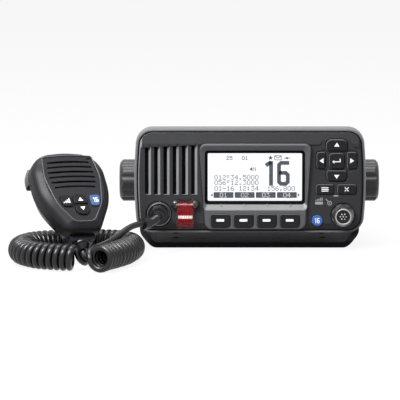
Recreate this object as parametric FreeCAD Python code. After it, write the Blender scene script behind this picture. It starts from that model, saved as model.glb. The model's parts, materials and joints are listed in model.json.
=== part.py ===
"""Marine VHF transceiver on its U bracket, with a wired hand microphone beside it.

Frame: millimetres, +X right, +Z up, the panel looks along -Y. The origin is the
centre of the bracket's flat underside, straight below the axis of the side knobs.
Front pieces are drawn in face coordinates (x, height, distance towards the user),
handset pieces in (across, along, out of the face); both are turned into place last.
"""
import FreeCAD
import Part
import math
import os
from FreeCAD import Vector

# ---------------------------------------------------------------- driving sizes
# running and assembly clearances
GAP = 0.3               # between pieces that move apart
RUN = 0.05              # radial, shaft in its bore
SEAT = 0.05             # between pieces that are fitted together

# tilt axis and bracket
AXIS_Z = 48.65
BRACKET_T = 4.2
BRACKET_BEVEL = 10.2    # the arms stand out beyond the flat underside by this much
BRACKET_DEPTH = 36.0    # half depth of the base
BRACKET_WAIST = 30.0    # half depth above the bevel
BRACKET_HEAD = 15.5     # half width of an arm at the axis
BRACKET_BEND = 8.0
SCREW_X, SCREW_Y, SCREW_R = 58.0, 12.0, 2.7

# width and height of the front unit, which carry the whole layout
PANEL_W, PANEL_H, PANEL_R = 180.0, 82.0, 13.0
PANEL_Z = 55.35         # height of its centre
PANEL_BOW = 1.2         # how far each side swells
LEFT, RIGHT = -PANEL_W / 2, PANEL_W / 2

# case of the transceiver
SIDE_LIP = 10.0         # the front unit stands out beyond the case on each side
CASE_HALF = PANEL_W / 2 - SIDE_LIP
CASE_Z0, CASE_Z1 = 20.0, 84.0
CASE_BEVEL = 14.0
CASE_WALL = 3.0
CASE_FRONT = -38.0
CASE_BACK = 40.0
FIN_DEPTH = 12.0
FIN_T, FIN_PITCH = 2.4, 7.2
FIN_EDGE = 5.2          # the last fin stays this far from the side of the case
FIN_TRIM = 4.0          # and each ends this far below its top
BOSS_R = 8.0            # round each stud hole
GROOVE_W, GROOVE_PITCH, GROOVE_DEEP = 12.0, 40.0, 1.2

# what the case holds
BOARD_Z = 33.0          # underside of the transmitter board
BOARD_SIDE, BOARD_DEPTH, POST_R = 10.0, 66.0, 3.0
POST_SIDE, POST_Y = 26.0, (-28.0, 22.0)
SHIELD_W, SHIELD_H, SHIELD_D, SHIELD_T = 84.0, 14.0, 48.0, 0.5
SHIELD_BACK = 10.0

# rear sockets
SOCKET_R, SOCKET_L = 7.94, 15.9
SOCKET_FLANGE, SOCKET_FLANGE_T = 25.4, 3.0
SOCKET_X, SOCKET_Z = 22.0 - CASE_HALF, 66.0
GLAND_Z, GLAND_R, GLAND_L, GLAND_PITCH = 40.0, 4.6, 7.0, 12.0
GLAND_X = [8.0 - CASE_HALF + i * GLAND_PITCH for i in range(3)]
FIN_X0 = SOCKET_X + 20.0
FIN_COUNT = int((CASE_HALF - FIN_EDGE - FIN_T - FIN_X0) / FIN_PITCH) + 1

# arms of the bracket and side knobs
WASHER_R, WASHER_T = 14.0, 1.7
BRACKET_HALF = CASE_HALF + WASHER_T + GAP + BRACKET_T
BRACKET_FLAT = BRACKET_HALF - BRACKET_BEVEL
KNOB_R, KNOB_LOBES, LOBE_DEPTH = 16.6, 10, 1.3
KNOB_L = 16.1
KNOB_HUB_R, KNOB_HUB_T = 10.0, 2.6
STUD_R, STUD_DEPTH = 3.0, 9.0   # the stud reaches this far into the side of the case

# front unit
FACE = 58.0             # distance of the face in front of the tilt axis
RIM_BACK = 38.0
RIM_FRONT = 56.0
RIM_SLOPE = 0.8
RIM_EDGE = 1.2
SEAL_W = 1.2
RIM_WALL = 3.0
SEAL_INSET = RIM_SLOPE + RIM_EDGE
FACE_INSET = SEAL_INSET + SEAL_W
FACE_WALL = 2.6
FACE_SIDE = 1.8
BAND_RISE = 0.8         # the top band stands this much proud of the face
BAND_LEFT, BAND_RIGHT = 81.9, 83.9
BAND_DROP = 2.6
CHIN_TOP, CHIN_DROP = 22.5, 4.0
PANEL_BACK = 46.0       # rear edge of the moulded face
WELL_DEPTH = 0.6        # of the recess round the arrow keys

# screws that hold the face to the rim
SCREW_TOP = PANEL_Z + PANEL_H / 2 - 7.75
SCREW_SPOTS = ((LEFT + 6.7, 40.0), (RIGHT - 6.7, 40.0), (LEFT + 10.2, SCREW_TOP), (RIGHT - 10.2, SCREW_TOP))
SCREW_TIP = 52.0
SCREW_BOSS_R, FACE_SCREW_R, SCREW_HEAD_R = 2.5, 1.3, 2.3

# speaker slots of the panel
SLOT_X0, SLOT_PITCH, SLOT_COUNT = LEFT + 8.4, 7.17, 6
SLOT_W, SLOT_BEVEL = 2.8, 1.9
SLOT_Z0, SLOT_Z1, SLOT_RISE = 45.0, 82.0, 0.3
SLOT_TIP = 4.6          # the bevel runs on to a point above the slit
SPEAKER_X, SPEAKER_Z, SPEAKER_R = LEFT + 27.5, 65.5, 20.0
SPEAKER_W, SPEAKER_H, SPEAKER_PLATE = 41.6, 41.0, 1.2

# display frame and window
FRAME_TOP, FRAME_BOTTOM = 85.0, 18.2
FRAME_X0, FRAME_X1 = LEFT + 50.3, RIGHT - 42.4
FRAME_LEAN = 4.7        # each side comes in by this much at the bottom
FRAME_PROUD, FRAME_SUNK = 3.0, 1.0
FRAME_LAP = 2.0         # the frame lies on the face by this much
WINDOW_X0, WINDOW_X1 = FRAME_X0 + 6.8, FRAME_X1 - 7.4
WINDOW_Z0, WINDOW_Z1 = 40.0, FRAME_TOP - 7.8
WINDOW_SLOPE = 6.0
LENS_Z = 56.6           # front of the lens
LENS_T, LENS_LAP = 1.2, 1.3
LCD_AIR = 0.3           # between lens and display
HOLDER_WALL = 1.4
HOLDER_BACK = 51.4      # rear edge of the frame round the display

# keys: centre x, centre height, width, height, corner radii (br, tr, tl, bl)
KEY_GAP, KEY_FLANGE, KEY_TRAVEL = 0.25, 0.5, 1.0
KEY_PROUD, SOFT_PROUD = 0.9, 0.6
SOFT_Z, SOFT_H, SOFT_GAP, SOFT_COUNT = 24.85, 10.9, 2.25, 4
SOFT_LEFT, SOFT_RIGHT = FRAME_X0 + FRAME_LEAN + 3.95, FRAME_X1 - FRAME_LEAN - 4.4
SOFT_PITCH = (SOFT_RIGHT - SOFT_LEFT + SOFT_GAP) / SOFT_COUNT
SOFT_W = SOFT_PITCH - SOFT_GAP
PANEL_KEYS = {
    "key_up": (RIGHT - 23.0, 83.7, 16.6, 8.9, (1.5, 4.5, 4.5, 1.5)),
    "key_down": (RIGHT - 23.0, 59.7, 15.7, 8.4, (3.6, 1.5, 1.5, 3.6)),
    "key_left": (RIGHT - 35.2, 71.8, 6.9, 13.0, (1.2, 1.2, 2.2, 2.2)),
    "key_right": (RIGHT - 11.0, 71.8, 7.7, 13.0, (2.2, 2.2, 1.2, 1.2)),
    "enter_key": (RIGHT - 22.9, 71.4, 12.1, 12.2, (3.2, 3.2, 3.2, 3.2)),
    "menu_key": (RIGHT - 32.0, 49.2, 14.2, 7.8, (1.8, 1.8, 2.4, 1.8)),
    "clear_key": (RIGHT - 15.0, 49.2, 14.9, 7.8, (1.8, 2.4, 1.8, 1.8)),
    "channel_key": (RIGHT - 37.9, 24.7, 8.6, 8.6, (4.25, 4.25, 4.25, 4.25)),
}

# rotary dial
DIAL_X, DIAL_Z, DIAL_R, DIAL_TIP = RIGHT - 18.05, 29.0, 8.7, 10.0
DIAL_WELL_R, DIAL_WELL_T, DIAL_HOLE_R = 9.7, 1.2, 7.2
DIAL_SHAFT_R = 3.0
DIAL_PUSH = 0.8

# emergency button and its flip cover
SOS_X, SOS_Z0, SOS_Z1, SOS_W = LEFT + 39.5, 18.3, 41.0, 12.2
HINGE_Z, HINGE_OUT = 37.4, 2.4    # cover hinge: height, distance in front of the face
PIN_R, BARREL_R, PIN_HALF = 0.9, 2.3, 10.0
CHEEK_T, SPRING_ROOM, SPRING_WIRE = 0.8, 4.2, 0.3
SOS_BACK = 54.0         # rear face of the insert
EAR_R = 3.9
COVER_T = 1.2
BUTTON_W, BUTTON_H, BUTTON_Z, BUTTON_TRAVEL = 8.4, 6.6, 27.3, 1.5

# microphone socket and plug
JACK_X, JACK_Z, JACK_HOLE_R, JACK_R, JACK_BORE_R = LEFT + 19.1, 29.75, 10.3, 8.9, 7.9
JACK_FLOOR = 53.0
RING_R, RING_RIBS, RING_PITCH, RING_GROOVE = 7.0, 3, 2.2, 0.8
PLUG_R = 5.4
RING_FRONT, PLUG_FRONT = 66.0, 68.0
SLEEVE_R, SLEEVE_L, SLEEVE_RIBS = 4.6, 5.6, 3

# boards
BOARD_T = 1.6
LOGIC_FRONT = 50.2      # front face of the logic board
LOGIC_X0, LOGIC_X1 = LEFT + 12.0, RIGHT - 9.6
LOGIC_EDGE = 8.0        # it stays this far inside the front unit, above and below
SWITCH_T, SWITCH_W = 1.2, 4.2

# cord
CABLE_R = 2.4
COIL_R = 10.5
COIL_Z = COIL_R

# handset: (across, along, out) with the face plate's surface at out = 0
HAND_AT = Vector(-141.15, -91.48, 79.28)
HAND_YAW, HAND_LEAN, HAND_ROLL = 28.0, 40.0, -2.5
HAND_SEAM = -13.0
HAND_BACK = -30.0
HAND_WALL = 2.2
HAND_EDGE = -8.0                # the walls are widest from here to the seam
# right half of the outline, from the foot upwards: across, along, corner radius
HAND_CORNERS = ((13.5, -65.0, 9.0), (30.2, -35.5, 45.0), (30.2, 3.6, 20.0))
HAND_CROWN = (0.0, 6.4, 60.0)
PLATE_CORNERS = ((8.0, -58.8, 7.0), (18.3, -43.0, 25.0), (23.3, -19.0, 30.0), (20.6, -0.6, 2.5))
PLATE_CROWN = (0.0, 0.8, 60.0)
# level and inset of the rounded bezel, and of the back
BEZEL = ((HAND_EDGE, 0.0), (-6.0, 0.2), (-4.4, 0.8), (-3.1, 1.7), (-2.1, 2.8), (0.2, 6.4))
DOME = ((-17.0, 1.6), (-22.0, 4.6), (-27.0, 7.4), (HAND_BACK, 10.5))
SEAL_T = 0.8
PLATE_T = 1.4
INNER_TOP = -PLATE_T - 1.8      # inner face of the front shell
INNER_INSET = 5.0
HAND_BOARD_TOP, HAND_BOARD_T = -8.2, 1.4
# across, along and floor of the head's recess of each screw
HAND_SCREWS = ((-15.5, -28.5, -27.0), (15.5, -28.5, -27.0), (-9.5, -55.5, -22.0), (9.5, -55.5, -22.0))
HAND_BOSS_R, HAND_SCREW_R, HAND_HEAD_R, HAND_SCREW_END = 3.0, 1.2, 2.3, -7.0
MIC_AT = (16.8, -6.4)
MIC_SLIT = (17.8, -2.9, 3.6, 1.1)
STUD_SPOT = -22.0               # height of the hanger stud along the back
HAND_SLOT_W, HAND_SLOT_PITCH, HAND_SLOT_S0 = 1.7, 4.46, -6.0
HAND_SLOTS = (33.2, 35.4, 36.6, 36.7, 35.5, 32.2)
HAND_SPEAKER_Y, HAND_SPEAKER_R = -17.0, 15.0
HAND_KEYS = {
    "level_key": (-10.9, -40.7, 10.4, 9.8),
    "handset_channel_key": (13.9, -40.7, 9.2, 9.8),
}
HAND_KEY_LEAN = 2.6             # the outer side of these keys comes in at the foot
ROCKER_X, ROCKER_Y, ROCKER_W, ROCKER_H = 1.0, -43.8, 11.6, 18.6
PTT_Y, PTT_OUT, PTT_L, PTT_W = -9.0, -18.6, 16.0, 8.4
PTT_TRAVEL, PTT_RISE = 1.6, 1.3
PTT_FLANGE = 21.4               # outer face of its flange, measured across
NECK_END, NECK_HALF, NECK_TOP, NECK_LOW = -69.0, 10.5, -10.5, -24.0
BOOT_OUT, BOOT_L, BOOT_R0, BOOT_R1 = -17.0, 6.0, 7.0, 4.2


# ------------------------------------------------------------------ plane shapes
def rounded_polygon(corners, level=0.0):
    """Closed wire through (x, y, radius) corners, every corner rounded by its radius."""
    edges, ends = [], []
    count = len(corners)
    for i in range(count):
        x, y, r = corners[i]
        here = Vector(x, y, level)
        back = (Vector(corners[i - 1][0], corners[i - 1][1], level) - here).normalize()
        ahead = corners[(i + 1) % count]
        onward = (Vector(ahead[0], ahead[1], level) - here).normalize()
        if r <= 0:
            ends.append((here, here))
            edges.append(None)
            continue
        half = back.getAngle(onward) / 2.0
        leg = r / math.tan(half)
        bisector = (back + onward).normalize()
        middle = here + bisector * (r / math.sin(half) - r)
        start, stop = here + back * leg, here + onward * leg
        ends.append((start, stop))
        edges.append(Part.Arc(start, middle, stop).toShape())
    outline = []
    for i in range(count):
        if edges[i] is not None:
            outline.append(edges[i])
        a, b = ends[i][1], ends[(i + 1) % count][0]
        if a.distanceToPoint(b) > 1e-4:
            outline.append(Part.LineSegment(a, b).toShape())
    return Part.Wire(outline)


def shrunk(corners, inset):
    """The same corners with every side moved inwards (outwards where inset is negative)."""
    moved = []
    count = len(corners)
    for i in range(count):
        x, y, r = corners[i]
        here = Vector(x, y, 0)
        back = (Vector(corners[i - 1][0], corners[i - 1][1], 0) - here).normalize()
        onward = (Vector(corners[(i + 1) % count][0], corners[(i + 1) % count][1], 0) - here).normalize()
        step = (back + onward).normalize() * (inset / math.sin(back.getAngle(onward) / 2.0))
        moved.append((x + step.x, y + step.y, max(r - inset, 0.8)))
    return moved


def mirrored(half):
    """Corners on the left for those on the right, in the order that closes the outline."""
    return [(-x, y, r) for x, y, r in reversed(half)]


def rounded_rect(cx, cy, w, h, radii, level=0.0):
    """Rectangle with one radius, or four from the bottom right anticlockwise."""
    if not isinstance(radii, tuple):
        radii = (radii,) * 4
    x0, x1, y0, y1 = cx - w / 2, cx + w / 2, cy - h / 2, cy + h / 2
    spots = ((x1, y0), (x1, y1), (x0, y1), (x0, y0))
    return rounded_polygon([(x, y, r) for (x, y), r in zip(spots, radii)], level)


def slab(wire, low, high):
    """Straight block of a wire's outline between two levels."""
    face = Part.Face(wire)
    face.translate(Vector(0, 0, low - wire.Vertexes[0].Z))
    return face.extrude(Vector(0, 0, high - low))


def tapered(wire_low, low, wire_high, high):
    """Ruled block from one outline to another with as many edges."""
    a, b = wire_low.copy(), wire_high.copy()
    a.translate(Vector(0, 0, low - a.Vertexes[0].Z))
    b.translate(Vector(0, 0, high - b.Vertexes[0].Z))
    return Part.makeLoft([a, b], True, True)


def stacked(outline, levels):
    """Ruled blocks one on another; levels are (height, inset) and outline takes the inset."""
    blocks = []
    for (low, inset_low), (high, inset_high) in zip(levels, levels[1:]):
        blocks.append(tapered(outline(inset_low), low, outline(inset_high), high))
    return fused(blocks)


def disc(cx, cy, r, low, high):
    return Part.makeCylinder(r, high - low, Vector(cx, cy, low))


def tube(cx, cy, r_out, r_in, low, high):
    return disc(cx, cy, r_out, low, high).cut(disc(cx, cy, r_in, low - 1, high + 1))


def revolved(cx, cy, profile):
    """Solid of revolution about the line through (cx, cy); profile is (radius, level)."""
    points = [Vector(cx + r, cy, z) for r, z in profile]
    face = Part.Face(Part.makePolygon(points + points[:1]))
    return face.revolve(Vector(cx, cy, 0), Vector(0, 0, 1), 360)


def fused(shapes):
    body = shapes[0]
    for shape in shapes[1:]:
        body = body.fuse(shape)
    return body.removeSplitter()


# ------------------------------------------------------------------- placements
TO_FRONT = FreeCAD.Placement(Vector(0, 0, 0), FreeCAD.Rotation(Vector(1, 0, 0), 90))
TO_HAND = FreeCAD.Placement(
    HAND_AT,
    FreeCAD.Rotation(Vector(0, 0, 1), HAND_YAW)
    * FreeCAD.Rotation(Vector(1, 0, 0), 90 - HAND_LEAN)
    * FreeCAD.Rotation(Vector(0, 0, 1), HAND_ROLL))


def placed(shape, placement):
    moved = shape.copy()
    moved.Placement = placement.multiply(moved.Placement)
    return moved


def write(node, shapes, placement=None):
    """Write one node; shapes is a solid or a list of separate solids."""
    if not isinstance(shapes, list):
        shapes = [shapes]
    solids = [s for shape in shapes for s in shape.Solids]
    body = solids[0] if len(solids) == 1 else Part.makeCompound(solids)
    if placement is not None:
        body = placed(body, placement)
    box = body.BoundBox
    print("%-20s %2d solid(s) %9.1f mm3  x %.1f..%.1f  y %.1f..%.1f  z %.2f..%.1f %s" % (
        node, len(solids), body.Volume, box.XMin, box.XMax, box.YMin, box.YMax,
        box.ZMin, box.ZMax, "" if body.isValid() else "INVALID"))
    body.exportStep("parts/%s.step" % node)


# ---------------------------------------------------------------------- bracket
def bracket():
    """U bent from plate: flat base, bevelled corners and two rounded arms."""
    bend_in = BRACKET_T * math.tan(math.radians(22.5))
    rise = BRACKET_HALF - BRACKET_FLAT
    top = AXIS_Z + BRACKET_HEAD
    outer = ((BRACKET_FLAT, 0.0), (BRACKET_HALF, rise), (BRACKET_HALF, top))
    inner_x = BRACKET_HALF - BRACKET_T
    inner = ((inner_x, top), (inner_x, rise + bend_in), (BRACKET_FLAT - bend_in, BRACKET_T))
    r_in = BRACKET_BEND - BRACKET_T
    right = ((*outer[0], BRACKET_BEND), (*outer[1], BRACKET_BEND), (*outer[2], 0))
    right_in = ((*inner[0], 0), (*inner[1], r_in), (*inner[2], r_in))
    half = list(right) + list(right_in)
    left = [(-x, z, r) for x, z, r in reversed(half)]
    section = placed(slab(rounded_polygon(half + left), -BRACKET_DEPTH, BRACKET_DEPTH), TO_FRONT)

    shoulder = AXIS_Z - BRACKET_HEAD
    side = [(BRACKET_DEPTH, -1.0, 0), (BRACKET_DEPTH, BRACKET_T + 0.5, 3.0),
            (BRACKET_WAIST, rise - 1.6, 6.0),
            (BRACKET_HEAD, shoulder, 10.0), (BRACKET_HEAD, top, BRACKET_HEAD - 0.01)]
    side += [(-y, z, r) for y, z, r in reversed(side)]
    plan = slab(rounded_polygon(side), -BRACKET_HALF - 1, BRACKET_HALF + 1)
    plan.rotate(Vector(0, 0, 0), Vector(1, 1, 1), 120)
    body = section.common(plan)
    for x in (-SCREW_X, SCREW_X):
        for y in (-SCREW_Y, SCREW_Y):
            body = body.cut(disc(x, y, SCREW_R, -1, BRACKET_T + 1))
    bore = Part.makeCylinder(STUD_R + GAP, 2 * BRACKET_HALF + 2,
                             Vector(-BRACKET_HALF - 1, 0, AXIS_Z), Vector(1, 0, 0))
    return body.cut(bore)


def lobed_outline(radius, depth, lobes):
    """Ring of outward arcs that meet in shallow notches."""
    step = 2 * math.pi / lobes
    notch = [Vector(math.cos(i * step), math.sin(i * step), 0) * (radius - depth)
             for i in range(lobes)]
    crest = [Vector(math.cos((i + 0.5) * step), math.sin((i + 0.5) * step), 0) * radius
             for i in range(lobes)]
    return Part.Wire([Part.Arc(notch[i], crest[i], notch[(i + 1) % lobes]).toShape()
                      for i in range(lobes)])


def side_knob():
    """Lobed clamping knob moulded round its stud, drawn along +Z from the case outwards."""
    start = BRACKET_HALF + GAP
    end = start + KNOB_L
    grip = slab(lobed_outline(KNOB_R, LOBE_DEPTH, KNOB_LOBES), start + KNOB_HUB_T, end)
    dome = revolved(0, 0, ((0, start), (KNOB_R + 1, start), (KNOB_R + 1, end - 5.0),
                           (KNOB_R - 0.6, end - 2.4), (KNOB_R - 2.4, end - 0.7),
                           (KNOB_R - 5.5, end), (0, end)))
    hub = disc(0, 0, KNOB_HUB_R, start, start + KNOB_HUB_T + 1)
    stud = disc(0, 0, STUD_R, CASE_HALF - STUD_DEPTH, start + 1)
    return fused([grip.common(dome), hub, stud])


def to_side(shape, side):
    """Turn a shape drawn along +Z onto the knob axis, right (+1) or left (-1)."""
    turned = shape.copy()
    turned.rotate(Vector(0, 0, 0), Vector(0, 1, 0), 90 * side)
    turned.translate(Vector(0, 0, AXIS_Z))
    return turned


# ------------------------------------------------------------------------- case
def case_outline(inset):
    x, z0, z1 = CASE_HALF - inset, CASE_Z0 + inset, CASE_Z1 - inset
    bevel = CASE_BEVEL - inset * (2 - math.sqrt(2))
    return rounded_polygon([(x - bevel, z0, 5.0), (x, z0 + bevel, 5.0), (x, z1, 6.0 - inset),
                            (-x, z1, 6.0 - inset), (-x, z0 + bevel, 5.0), (-x + bevel, z0, 5.0)])


def chassis():
    """Die-cast case: open in front, cooling fins behind, a boss for each side stud."""
    back = -CASE_BACK
    body = slab(case_outline(0), back, -CASE_FRONT)
    body = body.cut(slab(case_outline(CASE_WALL), back + CASE_WALL, -CASE_FRONT + 1))
    for side in (-1, 1):
        root = Vector(side * (CASE_HALF - STUD_DEPTH - 2), AXIS_Z, 0)
        foot = Vector(side * (CASE_HALF - STUD_DEPTH - 1), AXIS_Z, 0)
        boss = Part.makeCylinder(BOSS_R, STUD_DEPTH + 1, root, Vector(side, 0, 0))
        hole = Part.makeCylinder(STUD_R + RUN, STUD_DEPTH + 2, foot, Vector(side, 0, 0))
        body = body.fuse(boss).cut(hole)
    fins = []
    for i in range(FIN_COUNT):
        x = FIN_X0 + i * FIN_PITCH
        beyond = max(0.0, x + FIN_T - (CASE_HALF - CASE_BEVEL))
        low = CASE_Z0 + CASE_WALL + beyond
        corner = Vector(x, low, back - FIN_DEPTH)
        fins.append(Part.makeBox(FIN_T, CASE_Z1 - FIN_TRIM - low, FIN_DEPTH + 1, corner))
    body = fused([body] + fins)
    for i in range(4):
        corner = Vector((i - 1.5) * GROOVE_PITCH - GROOVE_W / 2, CASE_Z1 - GROOVE_DEEP, back + 8.0)
        body = body.cut(Part.makeBox(GROOVE_W, 3.0, CASE_BACK - CASE_FRONT - 16.0, corner))
    body = body.cut(disc(SOCKET_X, SOCKET_Z, SOCKET_R - 2.0, back - 1, back + CASE_WALL + 1))
    for x in GLAND_X:
        body = body.cut(disc(x, GLAND_Z, GLAND_R - 1.2, back - 1, back + CASE_WALL + 1))
    return body


def antenna_socket():
    """Coaxial socket: square flange, threaded barrel and a recessed centre contact."""
    back = -CASE_BACK
    tip = back - SOCKET_FLANGE_T - SOCKET_L
    square = rounded_rect(SOCKET_X, SOCKET_Z, SOCKET_FLANGE, SOCKET_FLANGE, 2.0)
    flange = slab(square, back - SOCKET_FLANGE_T, back)
    barrel = disc(SOCKET_X, SOCKET_Z, SOCKET_R, tip, back - 1.0)
    spigot = disc(SOCKET_X, SOCKET_Z, SOCKET_R - 2.0 - SEAT, back - 1.0, back + CASE_WALL)
    well = tube(SOCKET_X, SOCKET_Z, 5.6, 2.0, tip - 1.0, tip + 11.0)
    return fused([flange, barrel, spigot]).cut(well)


def cable_glands():
    """Moulded bushes for the power, data and speaker leads, each with its blind hole."""
    back = -CASE_BACK
    glands = []
    for x in GLAND_X:
        outside = revolved(x, GLAND_Z, ((0, back), (GLAND_R, back), (GLAND_R, back - 2.0),
                                        (GLAND_R - 1.4, back - GLAND_L), (0, back - GLAND_L)))
        neck = disc(x, GLAND_Z, GLAND_R - 1.2 - SEAT, back - 1.0, back + CASE_WALL)
        hole = disc(x, GLAND_Z, 1.8, back - GLAND_L - 1, back - 1.0)
        glands.append(fused([outside, neck]).cut(hole))
    return glands


def main_board():
    """Transmitter board on the floor of the case."""
    half = CASE_HALF - BOARD_SIDE
    corner = Vector(-half, BOARD_Z, -CASE_BACK + CASE_WALL + GAP)
    board = Part.makeBox(2 * half, BOARD_T, BOARD_DEPTH, corner)
    floor = CASE_Z0 + CASE_WALL
    posts = [Part.makeCylinder(POST_R, BOARD_Z - floor, Vector(x, floor, y), Vector(0, 1, 0))
             for x in (POST_SIDE - CASE_HALF, CASE_HALF - POST_SIDE) for y in POST_Y]
    return fused([board] + posts)


def rf_shield():
    """Folded tin box over the transmitter stage."""
    low, back, t = BOARD_Z + BOARD_T, SHIELD_BACK - CASE_BACK, SHIELD_T
    box = Part.makeBox(SHIELD_W, SHIELD_H, SHIELD_D, Vector(-SHIELD_W / 2, low, back))
    room = Part.makeBox(SHIELD_W - 2 * t, SHIELD_H - t + 1, SHIELD_D - 2 * t,
                        Vector(t - SHIELD_W / 2, low - 1, back + t))
    return box.cut(room)


# ------------------------------------------------------------------- front unit
def panel_outline(inset):
    """Rounded rectangle of the front whose two sides swell a little."""
    w, h, r = PANEL_W / 2 - inset, PANEL_H / 2 - inset, PANEL_R - inset
    x = w - PANEL_BOW
    diag = r * (1 - math.sqrt(0.5))
    top, bottom = PANEL_Z + h, PANEL_Z - h
    edges = [
        Part.LineSegment(Vector(-x + r, bottom, 0), Vector(x - r, bottom, 0)),
        Part.Arc(Vector(x - r, bottom, 0), Vector(x - diag, bottom + diag, 0), Vector(x, bottom + r, 0)),
        Part.Arc(Vector(x, bottom + r, 0), Vector(w, PANEL_Z, 0), Vector(x, top - r, 0)),
        Part.Arc(Vector(x, top - r, 0), Vector(x - diag, top - diag, 0), Vector(x - r, top, 0)),
        Part.LineSegment(Vector(x - r, top, 0), Vector(-x + r, top, 0)),
        Part.Arc(Vector(-x + r, top, 0), Vector(-x + diag, top - diag, 0), Vector(-x, top - r, 0)),
        Part.Arc(Vector(-x, top - r, 0), Vector(-w, PANEL_Z, 0), Vector(-x, bottom + r, 0)),
        Part.Arc(Vector(-x, bottom + r, 0), Vector(-x + diag, bottom + diag, 0), Vector(-x + r, bottom, 0)),
    ]
    return Part.Wire([edge.toShape() for edge in edges])


def panel_rim():
    """Tray behind the face: sloping front edge, back wall with a window for the case."""
    shoulder = RIM_FRONT - 5.0
    body = slab(panel_outline(0), RIM_BACK + 3.0, shoulder)
    body = body.fuse(tapered(panel_outline(0), shoulder, panel_outline(RIM_SLOPE), RIM_FRONT))
    body = body.fuse(tapered(panel_outline(3.0), RIM_BACK, panel_outline(0), RIM_BACK + 3.0))
    body = body.cut(slab(panel_outline(SEAL_INSET), RIM_BACK + RIM_WALL + 1, RIM_FRONT + 1))
    window = case_outline(8.0)
    body = body.cut(slab(window, RIM_BACK - 1, RIM_BACK + RIM_WALL + 2))
    for x, z in SCREW_SPOTS:
        body = body.cut(disc(x, z, FACE_SCREW_R + GAP, RIM_BACK - 1, RIM_BACK + RIM_WALL + 2))
    return body.removeSplitter()


def front_seal():
    """Rubber gasket that shows as a dark line between rim and face."""
    low, high = RIM_BACK + RIM_WALL + 1, RIM_FRONT - 1.4
    return slab(panel_outline(SEAL_INSET + SEAT), low, high).cut(
        slab(panel_outline(FACE_INSET), low - 1, high + 1))


def face_screws():
    """Four screws from the back of the rim into the bosses of the face."""
    screws = []
    r, head, seat = FACE_SCREW_R, SCREW_HEAD_R, RIM_BACK
    for x, z in SCREW_SPOTS:
        screws.append(revolved(x, z, ((0, seat - 1.6), (head - 0.8, seat - 1.6), (head, seat - 0.8),
                                      (head, seat), (r, seat), (r, SCREW_TIP), (0, SCREW_TIP))))
    return screws


def frame_outline(grow):
    """Outline of the display frame, narrower at the foot."""
    return rounded_polygon([
        (FRAME_X1 - FRAME_LEAN + grow, FRAME_BOTTOM - grow, 6.0 + grow),
        (FRAME_X1 + grow, FRAME_TOP + grow, 5.0 + grow),
        (FRAME_X0 - grow, FRAME_TOP + grow, 5.0 + grow),
        (FRAME_X0 + FRAME_LEAN - grow, FRAME_BOTTOM - grow, 6.0 + grow)])


def frame_opening(grow):
    """Opening of the face under the display frame: room for the window and the soft keys."""
    foot = SOFT_Z - SOFT_H / 2 - KEY_FLANGE - GAP
    left, right = FRAME_X0 + FRAME_LAP, FRAME_X1 - FRAME_LAP
    return rounded_polygon([
        (right - FRAME_LEAN + grow, foot - grow, 2.0), (right + grow, FRAME_TOP - FRAME_LAP + grow, 3.0),
        (left - grow, FRAME_TOP - FRAME_LAP + grow, 3.0), (left + FRAME_LEAN - grow, foot - grow, 2.0)])


def key_outline(spec, grow):
    x, z, w, h, radii = spec
    return rounded_rect(x, z, w + 2 * grow, h + 2 * grow, tuple(r + grow for r in radii))


def band_cutter():
    """Everything in front of the face below the raised top band."""
    up_x, up_z, up_w, up_h, _ = PANEL_KEYS["key_up"]
    left, right = up_x - up_w / 2 - 2.0, up_x + up_w / 2 + 2.0
    crown = up_z + up_h / 2 + 1.6
    edge = PANEL_W
    spots = [(-edge, 0, 0), (edge, 0, 0), (edge, BAND_LEFT, 0), (right + 3.0, BAND_LEFT, 2.0),
             (right - 0.8, crown, 3.0), (left + 0.8, crown, 3.0), (left - 3.0, BAND_RIGHT, 2.0),
             (FRAME_X0 - 2.0, BAND_RIGHT, 0), (-PANEL_W / 2, BAND_LEFT - 0.4, 0), (-edge, BAND_LEFT - 0.4, 0)]
    return slab(rounded_polygon(spots), FACE, FACE + 8.0)


def slot_cutter(index):
    """One louvre: a slit through the face and a bevel on its right side."""
    x = SLOT_X0 + index * SLOT_PITCH
    top = SLOT_Z1 + index * SLOT_RISE
    deep = FACE - FACE_WALL - 3.0
    section = [(x, deep), (x + SLOT_W, deep), (x + SLOT_W, FACE - 2.0),
               (x + SLOT_W + SLOT_BEVEL, FACE), (x + SLOT_W + SLOT_BEVEL, FACE + 4.0), (x, FACE + 4.0)]
    points = [Vector(px, SLOT_Z0, pz) for px, pz in section]
    louvre = Part.Face(Part.makePolygon(points + points[:1])).extrude(Vector(0, top - SLOT_Z0, 0))
    wedge = Part.Face(Part.makePolygon([points[2], points[3], points[4], points[2]]))
    point = [Vector(x + SLOT_W - 0.2, top - 0.1, 0), Vector(x + SLOT_W + SLOT_BEVEL, top - 0.1, 0),
             Vector(x + SLOT_W, top + SLOT_TIP, 0)]
    taper = slab(Part.makePolygon(point + point[:1]), deep, FACE + 4.0)
    run_on = wedge.extrude(Vector(0, top + SLOT_TIP - SLOT_Z0, 0)).common(taper)
    return louvre.fuse(run_on)


def sos_stem(grow):
    """Outline of the insert that holds the emergency button."""
    low, high = SOS_Z0 + 1.2, SOS_Z1 + 1.6
    return rounded_rect(SOS_X, (low + high) / 2, SOS_W + 1.4 + 2 * grow, high - low + 2 * grow, 1.2 + grow)


def sos_bar(grow):
    """Cross bar of the insert, hidden under the two ears."""
    return rounded_rect(SOS_X, HINGE_Z + 0.4, SOS_W + 6.0 + 2 * grow, 5.2 + 2 * grow, 1.0 + grow)


def chin_wedge():
    """What the sloping chin takes off the foot of the face."""
    low = PANEL_Z - PANEL_H / 2
    chin = [Vector(-PANEL_W, CHIN_TOP, FACE), Vector(-PANEL_W, CHIN_TOP, FACE + 5),
            Vector(-PANEL_W, low, FACE + 5), Vector(-PANEL_W, low, FACE - CHIN_DROP)]
    return Part.Face(Part.makePolygon(chin + chin[:1])).extrude(Vector(2 * PANEL_W, 0, 0))


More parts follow.
